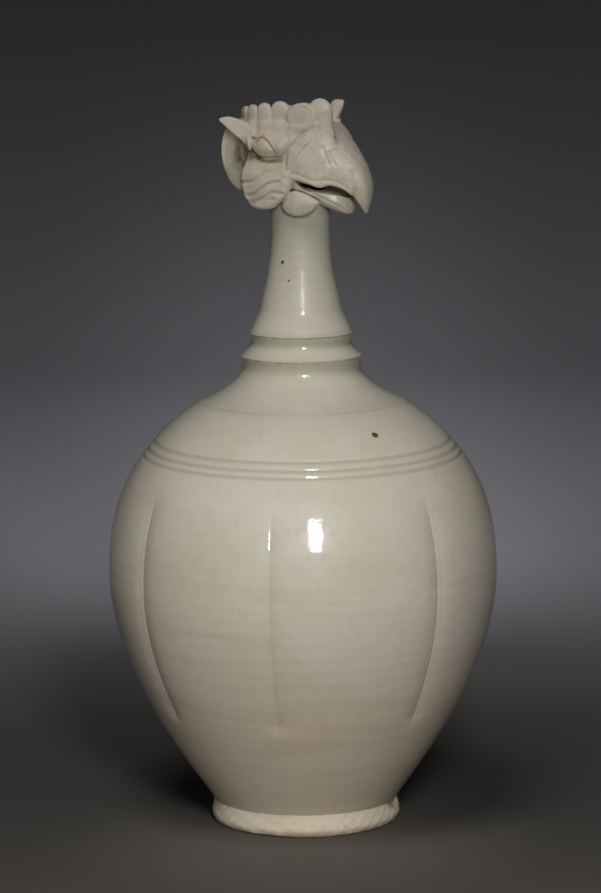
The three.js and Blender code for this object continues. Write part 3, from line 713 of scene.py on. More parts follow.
def ear_clay(p):
    """A thin pointed ear that stands out backwards, slightly cupped."""
    face = -p[:, 1] - (17.6 - (p[:, 0] + 20) * 0.47) - 0.012 * (p[:, 0] + 27) ** 2
    return slab(EAR(p), 0.88 * face, EAR_THICKNESS(p[:, 0]), 0.6)


def nape_clay(p):
    """A curled feather at the back: a plate with a raised rear rim and a deep hollow under the ear."""
    x, z = p[:, 0], p[:, 2]
    rim = 3.2 * np.exp(np.minimum(NAPE(p), 0) / 2.2) * smooth((-28 - x) / 5) * smooth((z - 338) / 12)
    pit = 4.6 * bump(x, -25.5, 5.5) * bump(z, 351, 10)
    turn_in = 0.58 * np.maximum(-22 - x, 0) + 0.012 * np.maximum(343 - z, 0) ** 2
    face = -p[:, 1] - (16.8 + rim - pit - turn_in)
    return slab(NAPE(p), 0.8 * face, 1.7, 1)


def feathers_clay(p):
    """The cheek's feather lobe, flush with the cheek under the eye and thicker below, cut by its grooves."""
    x, z = p[:, 0], p[:, 2]
    swell = 1.7 * np.exp(-(((x + 12) / 11) ** 2) - ((z - 334) / 11) ** 2)
    fall = 0.006 * (x + 11) ** 2 + 4.6 * smooth((z - 340.5) / 9) + 1.7 * smooth((x + 1) / 7)
    clay = slab(FEATHERS(p), 0.95 * (-p[:, 1] - 19 - swell + fall), 2.3, 1.7)
    for line, width, depth in GROOVES:
        away = line(p)
        clay = clay + cut(away, width, depth) - 0.14 * bump(away, 2, 1)
    return clay


def wattle_clay(p):
    """A plump leaf lobe under the mouth."""
    face = -p[:, 1] - (18.4 - 0.012 * (p[:, 0] - 5) ** 2 - 0.1 * (p[:, 0] - 5) * (p[:, 0] > 5))
    pillow = 0.7 + 1.5 * (1 - np.exp(np.minimum(WATTLE(p), 0) / 3))
    return slab(WATTLE(p), 0.95 * face, pillow, 0.7)


# Round comb lobes: the middle in the plan view, the top, the half width and the turn in degrees
LOBES = [
    ((-3.6, -16), 378.4, 5.1, 0.0),
    ((-12.2, -15.8), 377.5, 4.7, 6.0),
    ((-19.7, -13.4), 376.3, 4.4, 26.0),
    ((-25.2, -9.4), 374.9, 3.8, 50.0),
    ((-28.2, -4.2), 373.6, 3.4, 78.0),
]

# The comb's strip in the plan view, its height and its radius, and the side view of the volute
STRIP = [(8, -15.4), (-4, -15.8), (-13, -15.2), (-20.6, -12.4), (-26, -8.2), (-28.4, -3.4), (-28.8, 2)]
STRIP_HEIGHT, STRIP_RADIUS = 366, 2.6
VOLUTE_MIDDLE, VOLUTE_RADIUS = (9, 370.9), 7

# How much lower the left comb's tops are
LEFT_DROP = 4.0


def lobe_clay(p, middle, top, half, turn, drop):
    """One round comb lobe: a disc on edge with a straight root, leaning out a little."""
    turn = math.radians(turn)
    q = p - np.array([*middle, top - drop - half])
    along = q[:, 0] * math.cos(turn) - q[:, 1] * math.sin(turn)
    outward = -(q[:, 0] * math.sin(turn) + q[:, 1] * math.cos(turn)) - 0.08 * q[:, 2]
    disc = np.hypot(along, np.maximum(q[:, 2], 0)) - half
    pillow = 0.9 + 1.4 * (1 - np.exp(np.minimum(disc, 0) / 1.8))
    return np.maximum(slab(disc, outward, pillow, 0.9), 364 - p[:, 2])


def volute_clay(p, drop):
    """The comb's front lobe: a coiled disc with its curl line, smaller inside."""
    x, z = p[:, 0] - VOLUTE_MIDDLE[0], p[:, 2] - VOLUTE_MIDDLE[1] + drop
    away = np.hypot(np.where(x > 0, 0.97 * x, 0.78 * x), z)
    face = -p[:, 1] - 16.6 + 0.02 * x**2 * (x > 0)
    disc = slab(away - VOLUTE_RADIUS, face, 2.4, 1.8)
    angle = np.degrees(np.arctan2(z, x))
    shown = smooth((angle + 90) / 70) * smooth((140 - angle) / 70) * (face > 0)
    return disc + shown * (cut(away - 4.7, 0.9, 0.28) + cut(away - 2.4, 0.8, 0.1))


def comb_clay(p, drop=0.0):
    """Five lobes and the volute, rising from one strip round the crown. drop lowers their tops."""
    clay = lobe_clay(p, *LOBES[0], drop)
    for lobe in LOBES[1:]:
        clay = joined(clay, lobe_clay(p, *lobe, drop), 0.35)
    clay = joined(clay, volute_clay(p, drop), 1.6)
    for start, end in zip(STRIP, STRIP[1:]):
        clay = joined(clay, rod(p, (*start, STRIP_HEIGHT), (*end, STRIP_HEIGHT), STRIP_RADIUS), 1.6)
    return np.maximum(clay, p[:, 1] - 0.2)


def left_comb(p):
    """The left comb, on mirrored points: like the right one, but lower."""
    return comb_clay(p, LEFT_DROP)


def plume_clay(p, root, tip, half, tip_half, thick):
    """An upright plume: a flattened rod, wide along the head and thin across it, with a round top."""
    root, tip = np.array(root, float), np.array(tip, float)
    step = tip - root
    share = np.clip((p - root) @ step / (step @ step), 0, 1)
    q = p - root - share[:, None] * step
    wide = half + (tip_half - half) * share
    flat = wide / thick
    return (np.sqrt(q[:, 0] ** 2 + (q[:, 1] * flat) ** 2 + q[:, 2] ** 2) - wide) / np.sqrt(flat)


def right_plume(p):
    """The right plume: a tongue whose root is sunk in the beak's side."""
    return plume_clay(p, root=(18.6, -12.6, 356), tip=(17.3, -14.4, 373.5), half=5, tip_half=6.4, thick=3.2)


def left_plume(p):
    """The left plume, on mirrored points: lower, narrower and flared, with a ridge along it."""
    flat = plume_clay(p, root=(11.2, -11, 360), tip=(15.2, -14, 374), half=2.2, tip_half=3.4, thick=1.8)
    return joined(flat, rod(p, (12, -11.2, 362), (17.8, -14.4, 376), 1, 1.2), 1.2)


def hand_made(points):
    """The slight unevenness of hand work in long and short waves, the same for neighbouring pieces because
    it depends on the place alone. It fades out at the neck."""
    fade = smooth((points[:, 2] - 330) / 12)[:, None]
    long_waves = np.column_stack([ripple(points, 26, seed) for seed in (3, 5, 8)])
    short_waves = np.column_stack([ripple(points, 7, seed) for seed in (13, 21, 34)])
    return points + fade * (0.3 * long_waves + 0.1 * short_waves)


# Meshing of the clay


def sampled(shape, axes, step=4):
    """shape on the grid of the three axes: everywhere at every fourth place, and at each place only in those
    coarse cells that the surface can reach."""
    coarse = np.stack(np.meshgrid(*[axis[::step] for axis in axes], indexing="ij"), axis=-1)
    rough = shape(coarse.reshape(-1, 3)).reshape(coarse.shape[:3])
    reach = 2.4 * step * (axes[0][1] - axes[0][0])
    near = np.abs(rough) < reach
    cells = np.zeros(np.array(near.shape) - 1, dtype=bool)
    for i, j, k in np.ndindex(2, 2, 2):
        cells |= near[i:near.shape[0] - 1 + i, j:near.shape[1] - 1 + j, k:near.shape[2] - 1 + k]

    def spread(coarse_values):
        """Each coarse cell's value for all the places in it."""
        return coarse_values.repeat(step, 0).repeat(step, 1).repeat(step, 2)

    values = np.ones([len(axis) for axis in axes])
    wanted = np.zeros(values.shape, dtype=bool)
    n = np.array(cells.shape) * step
    values[:n[0], :n[1], :n[2]] = spread(rough[:-1, :-1, :-1])
    wanted[:n[0], :n[1], :n[2]] = spread(cells)
    i, j, k = np.nonzero(wanted)
    values[wanted] = shape(np.column_stack([axes[0][i], axes[1][j], axes[2][k]]))
    for side in range(3):
        outermost = np.moveaxis(values, side, 0)
        outermost[[0, -1]] = np.abs(outermost[[0, -1]]) + 0.01
    return values


def net(values, axes):
    """One point per grid cell that the surface crosses, at the middle of its crossings of the cell's edges,
    and one quad round each crossed grid edge."""
    inside = values < 0
    size = np.array(values.shape) - 1
    count = np.zeros(size, dtype=int)
    for i, j, k in np.ndindex(2, 2, 2):
        count += inside[i:size[0] + i, j:size[1] + j, k:size[2] + k]
    active = (count > 0) & (count < 8)
    cell = np.argwhere(active)
    number = np.full(active.shape, -1)
    number[active] = np.arange(len(cell))
    total, crossings = np.zeros((len(cell), 3)), np.zeros((len(cell), 1))
    corners = np.array(list(np.ndindex(2, 2, 2)))
    for first in corners:
        for side in np.flatnonzero(first == 0):
            last = first.copy()
            last[side] = 1
            a = values[tuple((cell + first).T)]
            b = values[tuple((cell + last).T)]
            crossed = ((a < 0) != (b < 0))[:, None]
            share = (a / np.where(a == b, 1, a - b))[:, None]
            total += crossed * (first + share * (last - first))
            crossings += crossed
    places = (cell + total / crossings) * (axes[0][1] - axes[0][0])
    places += np.array([axis[0] for axis in axes])
    quads = []
    for side in range(3):
        a = np.take(inside, np.arange(size[side]), axis=side)
        b = np.take(inside, np.arange(1, size[side] + 1), axis=side)
        spot = np.argwhere(a != b)
        one, two = (side + 1) % 3, (side + 2) % 3
        within = (spot > 0) & (spot < size)
        spot = spot[within[:, one] & within[:, two]]
        ring = []
        for back_one, back_two in ((1, 1), (0, 1), (0, 0), (1, 0)):
            beside = spot.copy()
            beside[:, one] -= back_one
            beside[:, two] -= back_two
            ring.append(number[tuple(beside.T)])
        quad = np.stack(ring, axis=1)
        outwards = a[tuple(spot.T)]
        quad[~outwards] = quad[~outwards][:, ::-1]
        quads.append(quad)
    return places, np.vstack(quads)


def slopes(shape, points, h=0.05):
    """The gradient of shape at the points, from small steps each way."""
    steps = np.eye(3) * h
    return np.column_stack([(shape(points + step) - shape(points - step)) / (2 * h) for step in steps])


def clay_mesh(shape, low, high, pitch):
    """The surface of shape in a box: a net on a grid that every piece shares, drawn onto the true surface."""
    starts = np.floor(np.array(low) / pitch).astype(int)
    counts = (np.ceil((np.array(high) / pitch - starts) / 4).astype(int) + 1) * 4 + 1
    axes = [(start + np.arange(count)) * pitch for start, count in zip(starts, counts)]
    points, quads = net(sampled(shape, axes), axes)
    for _ in range(2):
        gradient = slopes(shape, points)
        steep = np.maximum((gradient**2).sum(axis=1), 0.25)
        move = -(shape(points) / steep)[:, None] * gradient
        longest = np.maximum(np.linalg.norm(move, axis=1, keepdims=True) / (0.45 * pitch), 1)
        points = points + move / longest
    return points, quads


def even(width):
    """A smear of the same width all over."""
    return lambda p: np.full(len(p), width)


def brow_smear(p):
    """The boss hangs over the cheek and runs smoothly into the crown above it and the snout before it."""
    x, z = p[:, 0], p[:, 2]
    return 0.4 + 4.6 * smooth((z - 354) / 7) + 2 * smooth(x / 4) * smooth((z - 350) / 4)


def plume_smear(p):
    """The plume's root runs out into the beak's side, and its tongue stands free."""
    return 0.8 + 2.6 * smooth((369 - p[:, 2]) / 7)


def comb_smear(p):
    """The comb's strip is pressed onto the crown, and its lobes stand free."""
    return 0.4 + 3.6 * smooth((369.5 - p[:, 2]) / 4)


# The applied pieces in the order of their making: the clay, the smear that joins it on and the box it lies in
RIGHT = {
    "nape_curl": (nape_clay, even(1.6), ((-42, -23, 328), (-16, -3, 368))),
    "ear": (ear_clay, even(1.2), ((-39, -30, 350), (-13, -9, 374))),
    "cheek_feathers": (feathers_clay, even(1.6), ((-28, -27, 318), (11, -11, 361))),
    "wattle": (wattle_clay, even(0.9), ((-6, -24, 316), (20, -9, 336))),
    "brow": (brow_clay, brow_smear, ((-26, -29, 343), (9, -7, 371))),
    "eye": (eye_clay, even(0.2), ((-18, -28, 348), (-2, -15, 363))),
    "crest_plume": (right_plume, plume_smear, ((6, -21, 344), (34, -1, 383))),
    "comb": (comb_clay, comb_smear, ((-37, -23, 357), (21, 3, 382))),
}
LEFT = {
    **RIGHT,
    "crest_plume": (left_plume, plume_smear, RIGHT["crest_plume"][2]),
    "comb": (left_comb, comb_smear, RIGHT["comb"][2]),
}


def layers(p, pieces, last=None):
    """The head's clay as one side's pieces are added in order, up to but without the one named last."""
    clay = joined(pierced_core(p), lower_beak_clay(p), 0.5)
    for name, (piece, smear, _) in pieces.items():
        if name == last:
            break
        clay = joined(clay, piece(p), smear(p))
    return clay


def applied(name, pieces):
    """An applied piece as laid on the clay before it: its own clay and the smear that joins it to the host,
    down to a little below the host's surface."""
    piece, smear, _ = pieces[name]

    def shape(p):
        """Less than 0 in the piece, which ends just within its smear's reach and 1.1 mm under the host."""
        clay, host, reach = piece(p), layers(p, pieces, name), smear(p)
        return np.maximum(np.maximum(joined(host, clay, reach), clay - 0.92 * reach), -host - 1.1)
    return shape


def skull_piece(p):
    """The core behind the strap's rear line, above the top of the neck."""
    return np.maximum(np.maximum(pierced_core(p), -beak_share(p)), tube_top - p[:, 2])


def upper_beak_piece(p):
    """The core in front of the strap's rear line and above the mouth line, which parts it from the chin."""
    clay = np.maximum(pierced_core(p), beak_share(p))
    return np.maximum(clay, CHIN_HEIGHT(p[:, 0]) - p[:, 2])


def lower_beak_piece(p):
    """The scoop with its root on the chin."""
    host = skull_clay(p)
    clay = joined(common(host, -mouth_space(p), 1), lower_beak_clay(p), 0.5)
    clay = np.maximum(clay, lower_beak_clay(p) - 0.95)
    return np.maximum(np.maximum(clay, -host - 2), tube_top - 8 - p[:, 2])


# How far out from the surface the hollows are felt for, and the weight of each way
HOLLOW_REACHES = [(0.9, 0.4), (2.2, 0.35), (5, 0.3)]
EDGE_REACH = 1.1


def shade_from(whole, points, shape):
    """How enclosed and how exposed each point is: the clay's distance a little way out along the normal falls
    short of that way in a hollow, and a little way in it falls short of the depth at a thin edge."""
    normal = slopes(shape, points)
    normal /= np.maximum(np.linalg.norm(normal, axis=1, keepdims=True), 1e-6)
    hollow = sum((1 - whole(points + normal * reach) / reach) * weight for reach, weight in HOLLOW_REACHES)
    edge = 1 + whole(points - normal * EDGE_REACH) / EDGE_REACH
    return np.clip(hollow, 0, 1), np.clip(edge, 0, 1)


def stained(points):
    """How brown the glaze is on the lid's edge, the lips, the beak's tip and the feathers."""
    return np.clip(sum(strength * bump(line(points), 0, width) for line, width, strength in STAINS), 0, 1)


def painted_shade(points):
    """Where shade is painted that no clay nearby casts: under the eye's boss and in the nape's curl."""
    x, side, z = points[:, 0], np.abs(points[:, 1]), points[:, 2]
    curl = bump(x, -26, 9) * bump(z, 347, 14) * smooth((18.5 - side) / 1.5)
    return 0.45 * bump(OVERHANG(points), 0, 1.6) * smooth((22 - side) / 1.5) + 0.55 * curl


def pool_and_painted_light(points):
    """Where the glaze stands in the scoop of the lower beak, whose pale tone there is also painted light in
    the upper beak's shade.
    """
    x, side = points[:, 0], np.abs(points[:, 1])
    length = smooth((12 - side) / 3) * smooth((x - 9) / 5) * smooth((26 - x) / 3)
    return length * smooth((KEEL(points) - 5) / 1.5)


def make_head(head_glaze):
    """Skull, beaks and the applied pieces of each side. The left side is made on mirrored points."""
    pitch = 0.4

    def whole(p):
        """The whole head's clay: each side's layers on its own half."""
        right = p[:, 1] < 0
        distances = np.empty(len(p))
        distances[right] = layers(p[right], RIGHT)
        distances[~right] = layers(p[~right] * np.array([1, -1, 1]), LEFT)
        return distances

    def add(name, shape, low, high, mirror=1, fineness=1.0, **more):
        """One piece of clay, with its shades worked out before the hand's unevenness moves its points."""
        points, quads = clay_mesh(shape, low, high, pitch * fineness)
        turned = np.array([1, mirror, 1])
        hollow, edge = shade_from(lambda p: whole(p * turned), points, shape)
        # The hollow shade also takes the painted shade under the eye's boss and in the nape's curl.
        hollow = np.clip(hollow + painted_shade(points), 0, 1)
        stain = stained(points)
        return finished(name, hand_made(points * turned), quads[:, ::mirror], name, head_glaze, "glazed_head",
                        hollow=hollow, edge=edge, stain=stain,
                        **{shade: value(points) for shade, value in more.items()})

    add("skull", skull_piece, (-36, -23, 325), (21, 23, 373), fineness=1.2)
    add("upper_beak", upper_beak_piece, (-6, -23, 313), (46, 23, 374))
    add("lower_beak", lower_beak_piece, (-4, -20, 315), (34, 20, 342), pool=pool_and_painted_light)
    for side, mirror, pieces in (("right", 1, RIGHT), ("left", -1, LEFT)):
        for name, (_, _, (low, high)) in pieces.items():
            fineness = 0.6 if name == "eye" else 0.9
            add(f"{name}_{side}", applied(name, pieces), low, high, mirror, fineness)


# Materials


def colour(red, green, blue):
    """A colour given as the eye sees it on a screen, 0 to 255, as the numbers that Blender works with."""
    share = np.array([red, green, blue]) / 255
    linear = np.where(share <= 0.04045, share / 12.92, ((share + 0.055) / 1.055) ** 2.4)
    return (*linear.tolist(), 1.0)


class Finish:
    """A node material whose colour starts as one tone and is built up by tints."""

    def __init__(self, name, red, green, blue):
        """A new material of one tone, whose patterns lie on the piece's own coordinates."""
        self.material = bpy.data.materials.new(name)
        self.material.use_nodes = True
        self.tree = self.material.node_tree
        self.shader = self.tree.nodes["Principled BSDF"]
        self.place = self.add("ShaderNodeTexCoord").outputs["Object"]
        self.tone = colour(red, green, blue)

    def add(self, kind, **settings):
        """A new node of a kind."""
        node = self.tree.nodes.new(kind)
        for setting, value in settings.items():
            setattr(node, setting, value)
        return node

    def put(self, value, socket):
        """Set a socket to a value, or link it to another node's output."""
        if isinstance(value, bpy.types.NodeSocket):
            self.tree.links.new(value, socket)
        else:
            socket.default_value = value

    def noise(self, size, detail, stretch=(1, 1, 1), distortion=0.0):
        """Noise from 0 to 1 whose features are about size metres across."""
        mapping = self.add("ShaderNodeMapping")
        mapping.inputs["Scale"].default_value = stretch
        self.put(self.place, mapping.inputs["Vector"])
        node = self.add("ShaderNodeTexNoise")
        node.inputs["Scale"].default_value = 1 / size
        node.inputs["Detail"].default_value = detail
        node.inputs["Roughness"].default_value = 0.55
        node.inputs["Distortion"].default_value = distortion
        self.put(mapping.outputs["Vector"], node.inputs["Vector"])
        return node.outputs["Fac"]

    def math(self, operation, a, b=0.0):
        """One step of arithmetic."""
        node = self.add("ShaderNodeMath", operation=operation)
        self.put(a, node.inputs[0])
        self.put(b, node.inputs[1])
        return node.outputs[0]

    def times(self, product, *factors):
        """The product of all that is given."""
        for factor in factors:
            product = self.math("MULTIPLY", product, factor)
        return product

    def ramp(self, value, low, high, start=0.0, end=1.0):
        """start below low, end above high, smooth between."""
        node = self.add("ShaderNodeMapRange", interpolation_type="SMOOTHSTEP", clamp=True)
        for socket, number in zip(("From Min", "From Max", "To Min", "To Max"), (low, high, start, end)):
            node.inputs[socket].default_value = number
        self.put(value, node.inputs["Value"])
        return node.outputs["Result"]

    def tint(self, share, red, green, blue):
        """Lay another tone over the colour so far, by its share."""
        node = self.add("ShaderNodeMix", data_type="RGBA", clamp_factor=True)
        self.put(share, node.inputs["Factor"])
        self.put(self.tone, node.inputs["A"])
        self.put(colour(red, green, blue), node.inputs["B"])
        self.tone = node.outputs["Result"]

    def shade(self, name):
        """A number that the piece's mesh holds for each vertex."""
        return self.add("ShaderNodeAttribute", attribute_name=name).outputs["Fac"]

    def along(self, *direction):
        """How far along a direction a point lies, in metres."""
        node = self.add("ShaderNodeVectorMath", operation="DOT_PRODUCT")
        self.put(self.place, node.inputs[0])
        node.inputs[1].default_value = direction
        return node.outputs["Value"]

    def spots(self, size, cover):
        """Round specks: 1 near the middles of a few cells of the given size, 0 elsewhere."""
        node = self.add("ShaderNodeTexVoronoi")
        node.inputs["Scale"].default_value = 1 / size
        self.put(self.place, node.inputs["Vector"])
        lot = self.math("FRACT", self.times(node.outputs["Color"], 7.31))
        chosen = self.ramp(lot, 1 - cover, 1 - cover + 0.01)
        return self.times(chosen, self.ramp(node.outputs["Distance"], 0.18, 0.33, 1.0, 0.0))

    def patch(self, middle, radius, softness):
        """1 near one place on the piece, given in metres, falling to 0 at the radius."""
        node = self.add("ShaderNodeVectorMath", operation="DISTANCE")
        self.put(self.place, node.inputs[0])
        node.inputs[1].default_value = middle
        return self.ramp(node.outputs["Value"], radius * (1 - softness), radius, 1.0, 0.0)

    def skin(self, relief, strength, distance):
        """Bump from a relief of 0 to 1, and the bumped normal."""
        node = self.add("ShaderNodeBump")
        node.inputs["Strength"].default_value = strength
        node.inputs["Distance"].default_value = distance
        self.put(relief, node.inputs["Height"])
        self.put(node.outputs["Normal"], self.shader.inputs["Normal"])
        return node.outputs["Normal"]

    def coat(self, weight, roughness):
        """The glassy layer on top."""
        self.put(weight, self.shader.inputs["Coat Weight"])
        self.put(roughness, self.shader.inputs["Coat Roughness"])
        self.shader.inputs["Coat IOR"].default_value = 1.5

    def done(self, roughness, reflection=0.5):
        """The material with its colour, roughness and plain reflection in place."""
        self.put(self.tone, self.shader.inputs["Base Color"])
        self.put(roughness, self.shader.inputs["Roughness"])
        self.put(reflection, self.shader.inputs["Specular IOR Level"])
        return self.material


# Marks at places of their own, in metres: the iron specks in the glaze and their sizes, the chip of the foot,
# the pink blush low on the body, the painted light on the upper beak's right side and the brown of the eye
IRON_SPOTS = [((0.0553, -0.0379, 0.2121), 0.0024), ((-0.0036, -0.0157, 0.2954), 0.0013),
              ((0.0004, -0.0175, 0.2862), 0.0008)]
FOOT_CHIP = (0.0483, 0.0025, 0.0125)
BLUSH = (0.055, -0.085, 0.085)
PAINTED_LIGHT_BEAK = (0.026, -0.012, 0.344)
BROWN_EYE = (-0.0105, -0.0225, 0.3546)


def make_body_glaze():
    """Pale grey-beige porcellaneous glaze: glossy, greenish where thick, pinkish brown where thin, with soft
    clouds, faint rings, pinholes and a few iron specks. It is darker and duller up the neck, and at the
    neck's top partly grimy and partly darker with a painted shadow of the head."""
    f = Finish("pale_glaze", 203, 196, 181)
    hollow, edge, height = f.shade("hollow"), f.shade("edge"), f.along(0, 0, 1)
    clouds = f.noise(0.07, detail=2)
    bands = f.noise(0.035, detail=2, stretch=(0.35, 0.35, 2.6))
    streaks = f.noise(0.024, detail=3, stretch=(0.25, 0.25, 2.2), distortion=0.2)
    mottle = f.noise(0.006, detail=4)
    f.tint(f.ramp(clouds, 0.36, 0.66), 198, 188, 168)
    f.tint(f.times(f.ramp(bands, 0.52, 0.72), f.patch(BLUSH, 0.1, 0.9), 0.5), 196, 172, 150)
    f.tint(f.ramp(height, 0.03, 0.14, 0.6, 0.0), 200, 183, 160)
    f.tint(f.times(f.ramp(streaks, 0.42, 0.78), f.ramp(height, 0.1, 0.17, 0.5, 0.12)), 184, 165, 142)
    f.tint(f.ramp(height, 0.243, 0.29, 0.0, 0.8), 164, 157, 141)
    # At the neck's top: partly grime and partly a painted shadow of the head, mottled.
    f.tint(f.times(f.ramp(height, 0.284, 0.324), f.ramp(mottle, 0.3, 0.7, 0.4, 0.75)), 104, 98, 84)
    green = f.times(f.ramp(height, 0.185, 0.235), f.ramp(clouds, 0.3, 0.7, 0.25, 0.8), 0.6)
    f.tint(green, 178, 180, 164)
    f.tint(f.times(f.ramp(mottle, 0.45, 0.75), 0.35), 184, 176, 158)
    f.tint(f.ramp(hollow, 0.1, 1.0, 0.0, 0.7), 158, 158, 138)
    patchy = f.ramp(f.noise(0.004, detail=3), 0.35, 0.6, 0.35, 1.0)
    f.tint(f.times(f.ramp(edge, 0.35, 0.95), patchy), 158, 124, 96)
    pinholes = f.spots(0.0019, 0.12)
    f.tint(f.times(pinholes, 0.15), 142, 124, 100)
    iron = f.times(f.spots(0.003, 0.006), 0.5)
    for spot, size in IRON_SPOTS:
        iron = f.math("MAXIMUM", iron, f.patch(spot, size, 0.5))
    f.tint(iron, 92, 62, 42)
    relief = f.math("ADD", f.noise(0.012, detail=3), f.times(f.noise(0.0022, detail=2), 0.22))
    relief = f.math("SUBTRACT", relief, f.times(pinholes, 0.35))
    f.put(f.skin(relief, 0.35, 0.0003), f.shader.inputs["Coat Normal"])
    f.coat(f.ramp(height, 0.262, 0.275, 0.85, 0.1), 0.07)
    return f.done(f.ramp(mottle, 0.3, 0.7, 0.36, 0.5), 0.35)


def make_head_glaze():
    """The head's thinner, duller glaze: warm grey, grey-green and dark brown where the clay is most enclosed,
    with painted shade under the eye's boss and in the nape's curl, brown stains, paler thin edges and painted
    light on the upper beak's right side. It stands pale and thick in the scoop of the lower beak, a tone that
    is there partly painted light where the upper beak shades the scoop."""
    f = Finish("thin_glaze", 174, 167, 151)
    hollow, edge, stain = f.shade("hollow"), f.shade("edge"), f.shade("stain")
    clouds = f.noise(0.012, detail=3)
    mottle = f.noise(0.0016, detail=4)
    f.tint(f.ramp(clouds, 0.35, 0.68), 164, 155, 138)
    # Painted light: a paler patch on the upper beak's right side.
    f.tint(f.times(f.patch(PAINTED_LIGHT_BEAK, 0.028, 0.8), 0.85), 196, 187, 170)
    f.tint(f.times(f.ramp(mottle, 0.42, 0.7), 0.35), 154, 143, 124)
    worn = f.times(f.ramp(edge, 0.25, 0.85), f.ramp(f.noise(0.003, detail=3), 0.36, 0.6), 0.55)
    f.tint(worn, 196, 185, 166)
    # Grey-green, then dark brown where the clay is most enclosed, both by the hollow shade, which also holds
    # the painted shade under the eye's boss and in the nape's curl.
    f.tint(f.ramp(hollow, 0.25, 0.8, 0.0, 0.7), 138, 134, 116)
    hollow_dark_and_painted_shade = f.times(f.ramp(hollow, 0.42, 0.85), f.ramp(f.noise(0.003, detail=3), 0.28, 0.6, 0.4, 1.0))
    f.tint(hollow_dark_and_painted_shade, 84, 70, 52)
    brown = f.times(stain, f.ramp(f.noise(0.0035, detail=3), 0.34, 0.62, 0.25, 0.85))
    f.tint(brown, 150, 114, 86)
    f.tint(f.times(f.patch(BROWN_EYE, 0.0062, 0.7), 0.5), 178, 154, 130)
    # Pale glaze standing in the scoop; its pale tone is also painted light, as the upper beak shades the
    # scoop.
    f.tint(f.times(f.shade("pool"), 0.95), 222, 228, 208)
    relief = f.math("ADD", f.noise(0.004, detail=3), f.times(f.noise(0.0009, detail=2), 0.35))
    f.skin(relief, 0.5, 0.0003)
    f.coat(0.25, 0.42)
    return f.done(f.ramp(mottle, 0.3, 0.7, 0.5, 0.66), 0.3)


def make_bare_clay():
    """Unglazed foot: pale buff clay with orange flashes and grit, brown at its lower rim and in its chip."""
    f = Finish("bare_clay", 225, 213, 192)
    clouds = f.noise(0.02, detail=3)
    grain = f.noise(0.0012, detail=4)
    f.tint(f.ramp(clouds, 0.45, 0.75, 0.0, 0.6), 210, 182, 148)
    rim = f.times(f.ramp(f.along(0, 0, 1), 0.0005, 0.0045, 0.8, 0.0), f.ramp(clouds, 0.3, 0.6, 0.4, 1.0))
    f.tint(rim, 150, 118, 88)
    f.tint(f.times(f.ramp(grain, 0.45, 0.75), 0.35), 172, 152, 124)
    f.tint(f.times(f.spots(0.0024, 0.1), 0.3), 120, 96, 72)
    f.tint(f.times(f.patch(FOOT_CHIP, 0.007, 0.6), f.ramp(grain, 0.35, 0.6, 0.5, 1.0)), 126, 98, 70)
    f.skin(f.math("ADD", f.noise(0.003, detail=4), f.times(grain, 0.5)), 0.3, 0.0005)
    return f.done(0.85)


# Photograph's view: the camera's turn round the part in degrees, its place in metres, and in degrees how far
# it looks down, its roll and its angle over the long side. The lens is moved by a share of the picture's side
CAMERA_TURN = 22.0
CAMERA_PLACE = (0.8327, -2.0611, 0.5624)
CAMERA_FALL = 9.33
CAMERA_ROLL = 0.55
CAMERA_ANGLE = 11.778
LENS_SHIFT = -0.0019

# Stage in metres: how far the floor reaches in front, behind and to each side, and the radius and the degrees
# of its sweep up into the backdrop
FLOOR_FRONT, FLOOR_BACK, FLOOR_SIDE = 3.2, 1.6, 4.5
SWEEP_RADIUS, SWEEP_DEGREES = 1.2, 50


def make_stage():
    """A floor that sweeps up into a backdrop: rows of a round profile carried straight across. It ends just
    above the photograph's picture, so that it hides nothing from behind."""
    sweep = np.radians(np.linspace(0, SWEEP_DEGREES, 13))
    back = np.concatenate([[-FLOOR_FRONT], FLOOR_BACK + SWEEP_RADIUS * np.sin(sweep)])
    height = np.concatenate([[0], SWEEP_RADIUS * (1 - np.cos(sweep))])
    across = np.array([-FLOOR_SIDE, FLOOR_SIDE])
    turn = math.radians(CAMERA_TURN)
    x = across[None, :] * math.cos(turn) - back[:, None] * math.sin(turn)
    y = across[None, :] * math.sin(turn) + back[:, None] * math.cos(turn)
    points = np.stack([x, y, np.broadcast_to(height[:, None], x.shape)], axis=-1).reshape(-1, 3)
    row = np.arange(len(back) - 1) * 2
    mesh = bpy.data.meshes.new("backdrop")
    mesh.from_pydata(points.tolist(), [], np.stack([row, row + 1, row + 3, row + 2], axis=1).tolist())
    mesh.polygons.foreach_set("use_smooth", np.ones(len(row), dtype=bool))
    mesh.materials.append(make_paper(turn))
    backdrop = bpy.data.objects.new("backdrop", mesh)
    bpy.context.scene.collection.objects.link(backdrop)


def make_paper(turn):
    """Matt grey paper with painted light and shade: dark round the ewer, paler further back and palest behind
    its belly in a painted glow, dark above, with painted light on the floor before the foot.
    """
    f = Finish("backdrop_paper", 84, 79, 73)
    back = f.along(-math.sin(turn), math.cos(turn), 0)
    across = f.along(math.cos(turn), math.sin(turn), 0)
    # Painted light and shade: darker round the ewer, paler further back, and dark high on the backdrop.
    f.tint(f.ramp(back, -0.22, 0.0), 72, 70, 67)
    f.tint(f.ramp(back, 0.12, 1.05), 180, 178, 186)
    f.tint(f.ramp(back, 1.3, 2.6), 84, 84, 86)
    # A painted glow on the backdrop behind the ewer's belly.
    middle = f.ramp(f.math("ABSOLUTE", across), 0.02, 0.28, 1.0, 0.0)
    painted_glow = f.times(f.ramp(back, 0.4, 0.8), f.ramp(back, 1.1, 2.4, 1.0, 0.0))
    f.tint(f.times(middle, painted_glow), 226, 222, 230)
    # Painted light on the floor in front of the foot, where the lamps leave it in shade.
    f.tint(f.patch((0.02, -0.06, 0), 0.15, 0.9), 98, 93, 87)
    return f.done(0.95, 0.1)


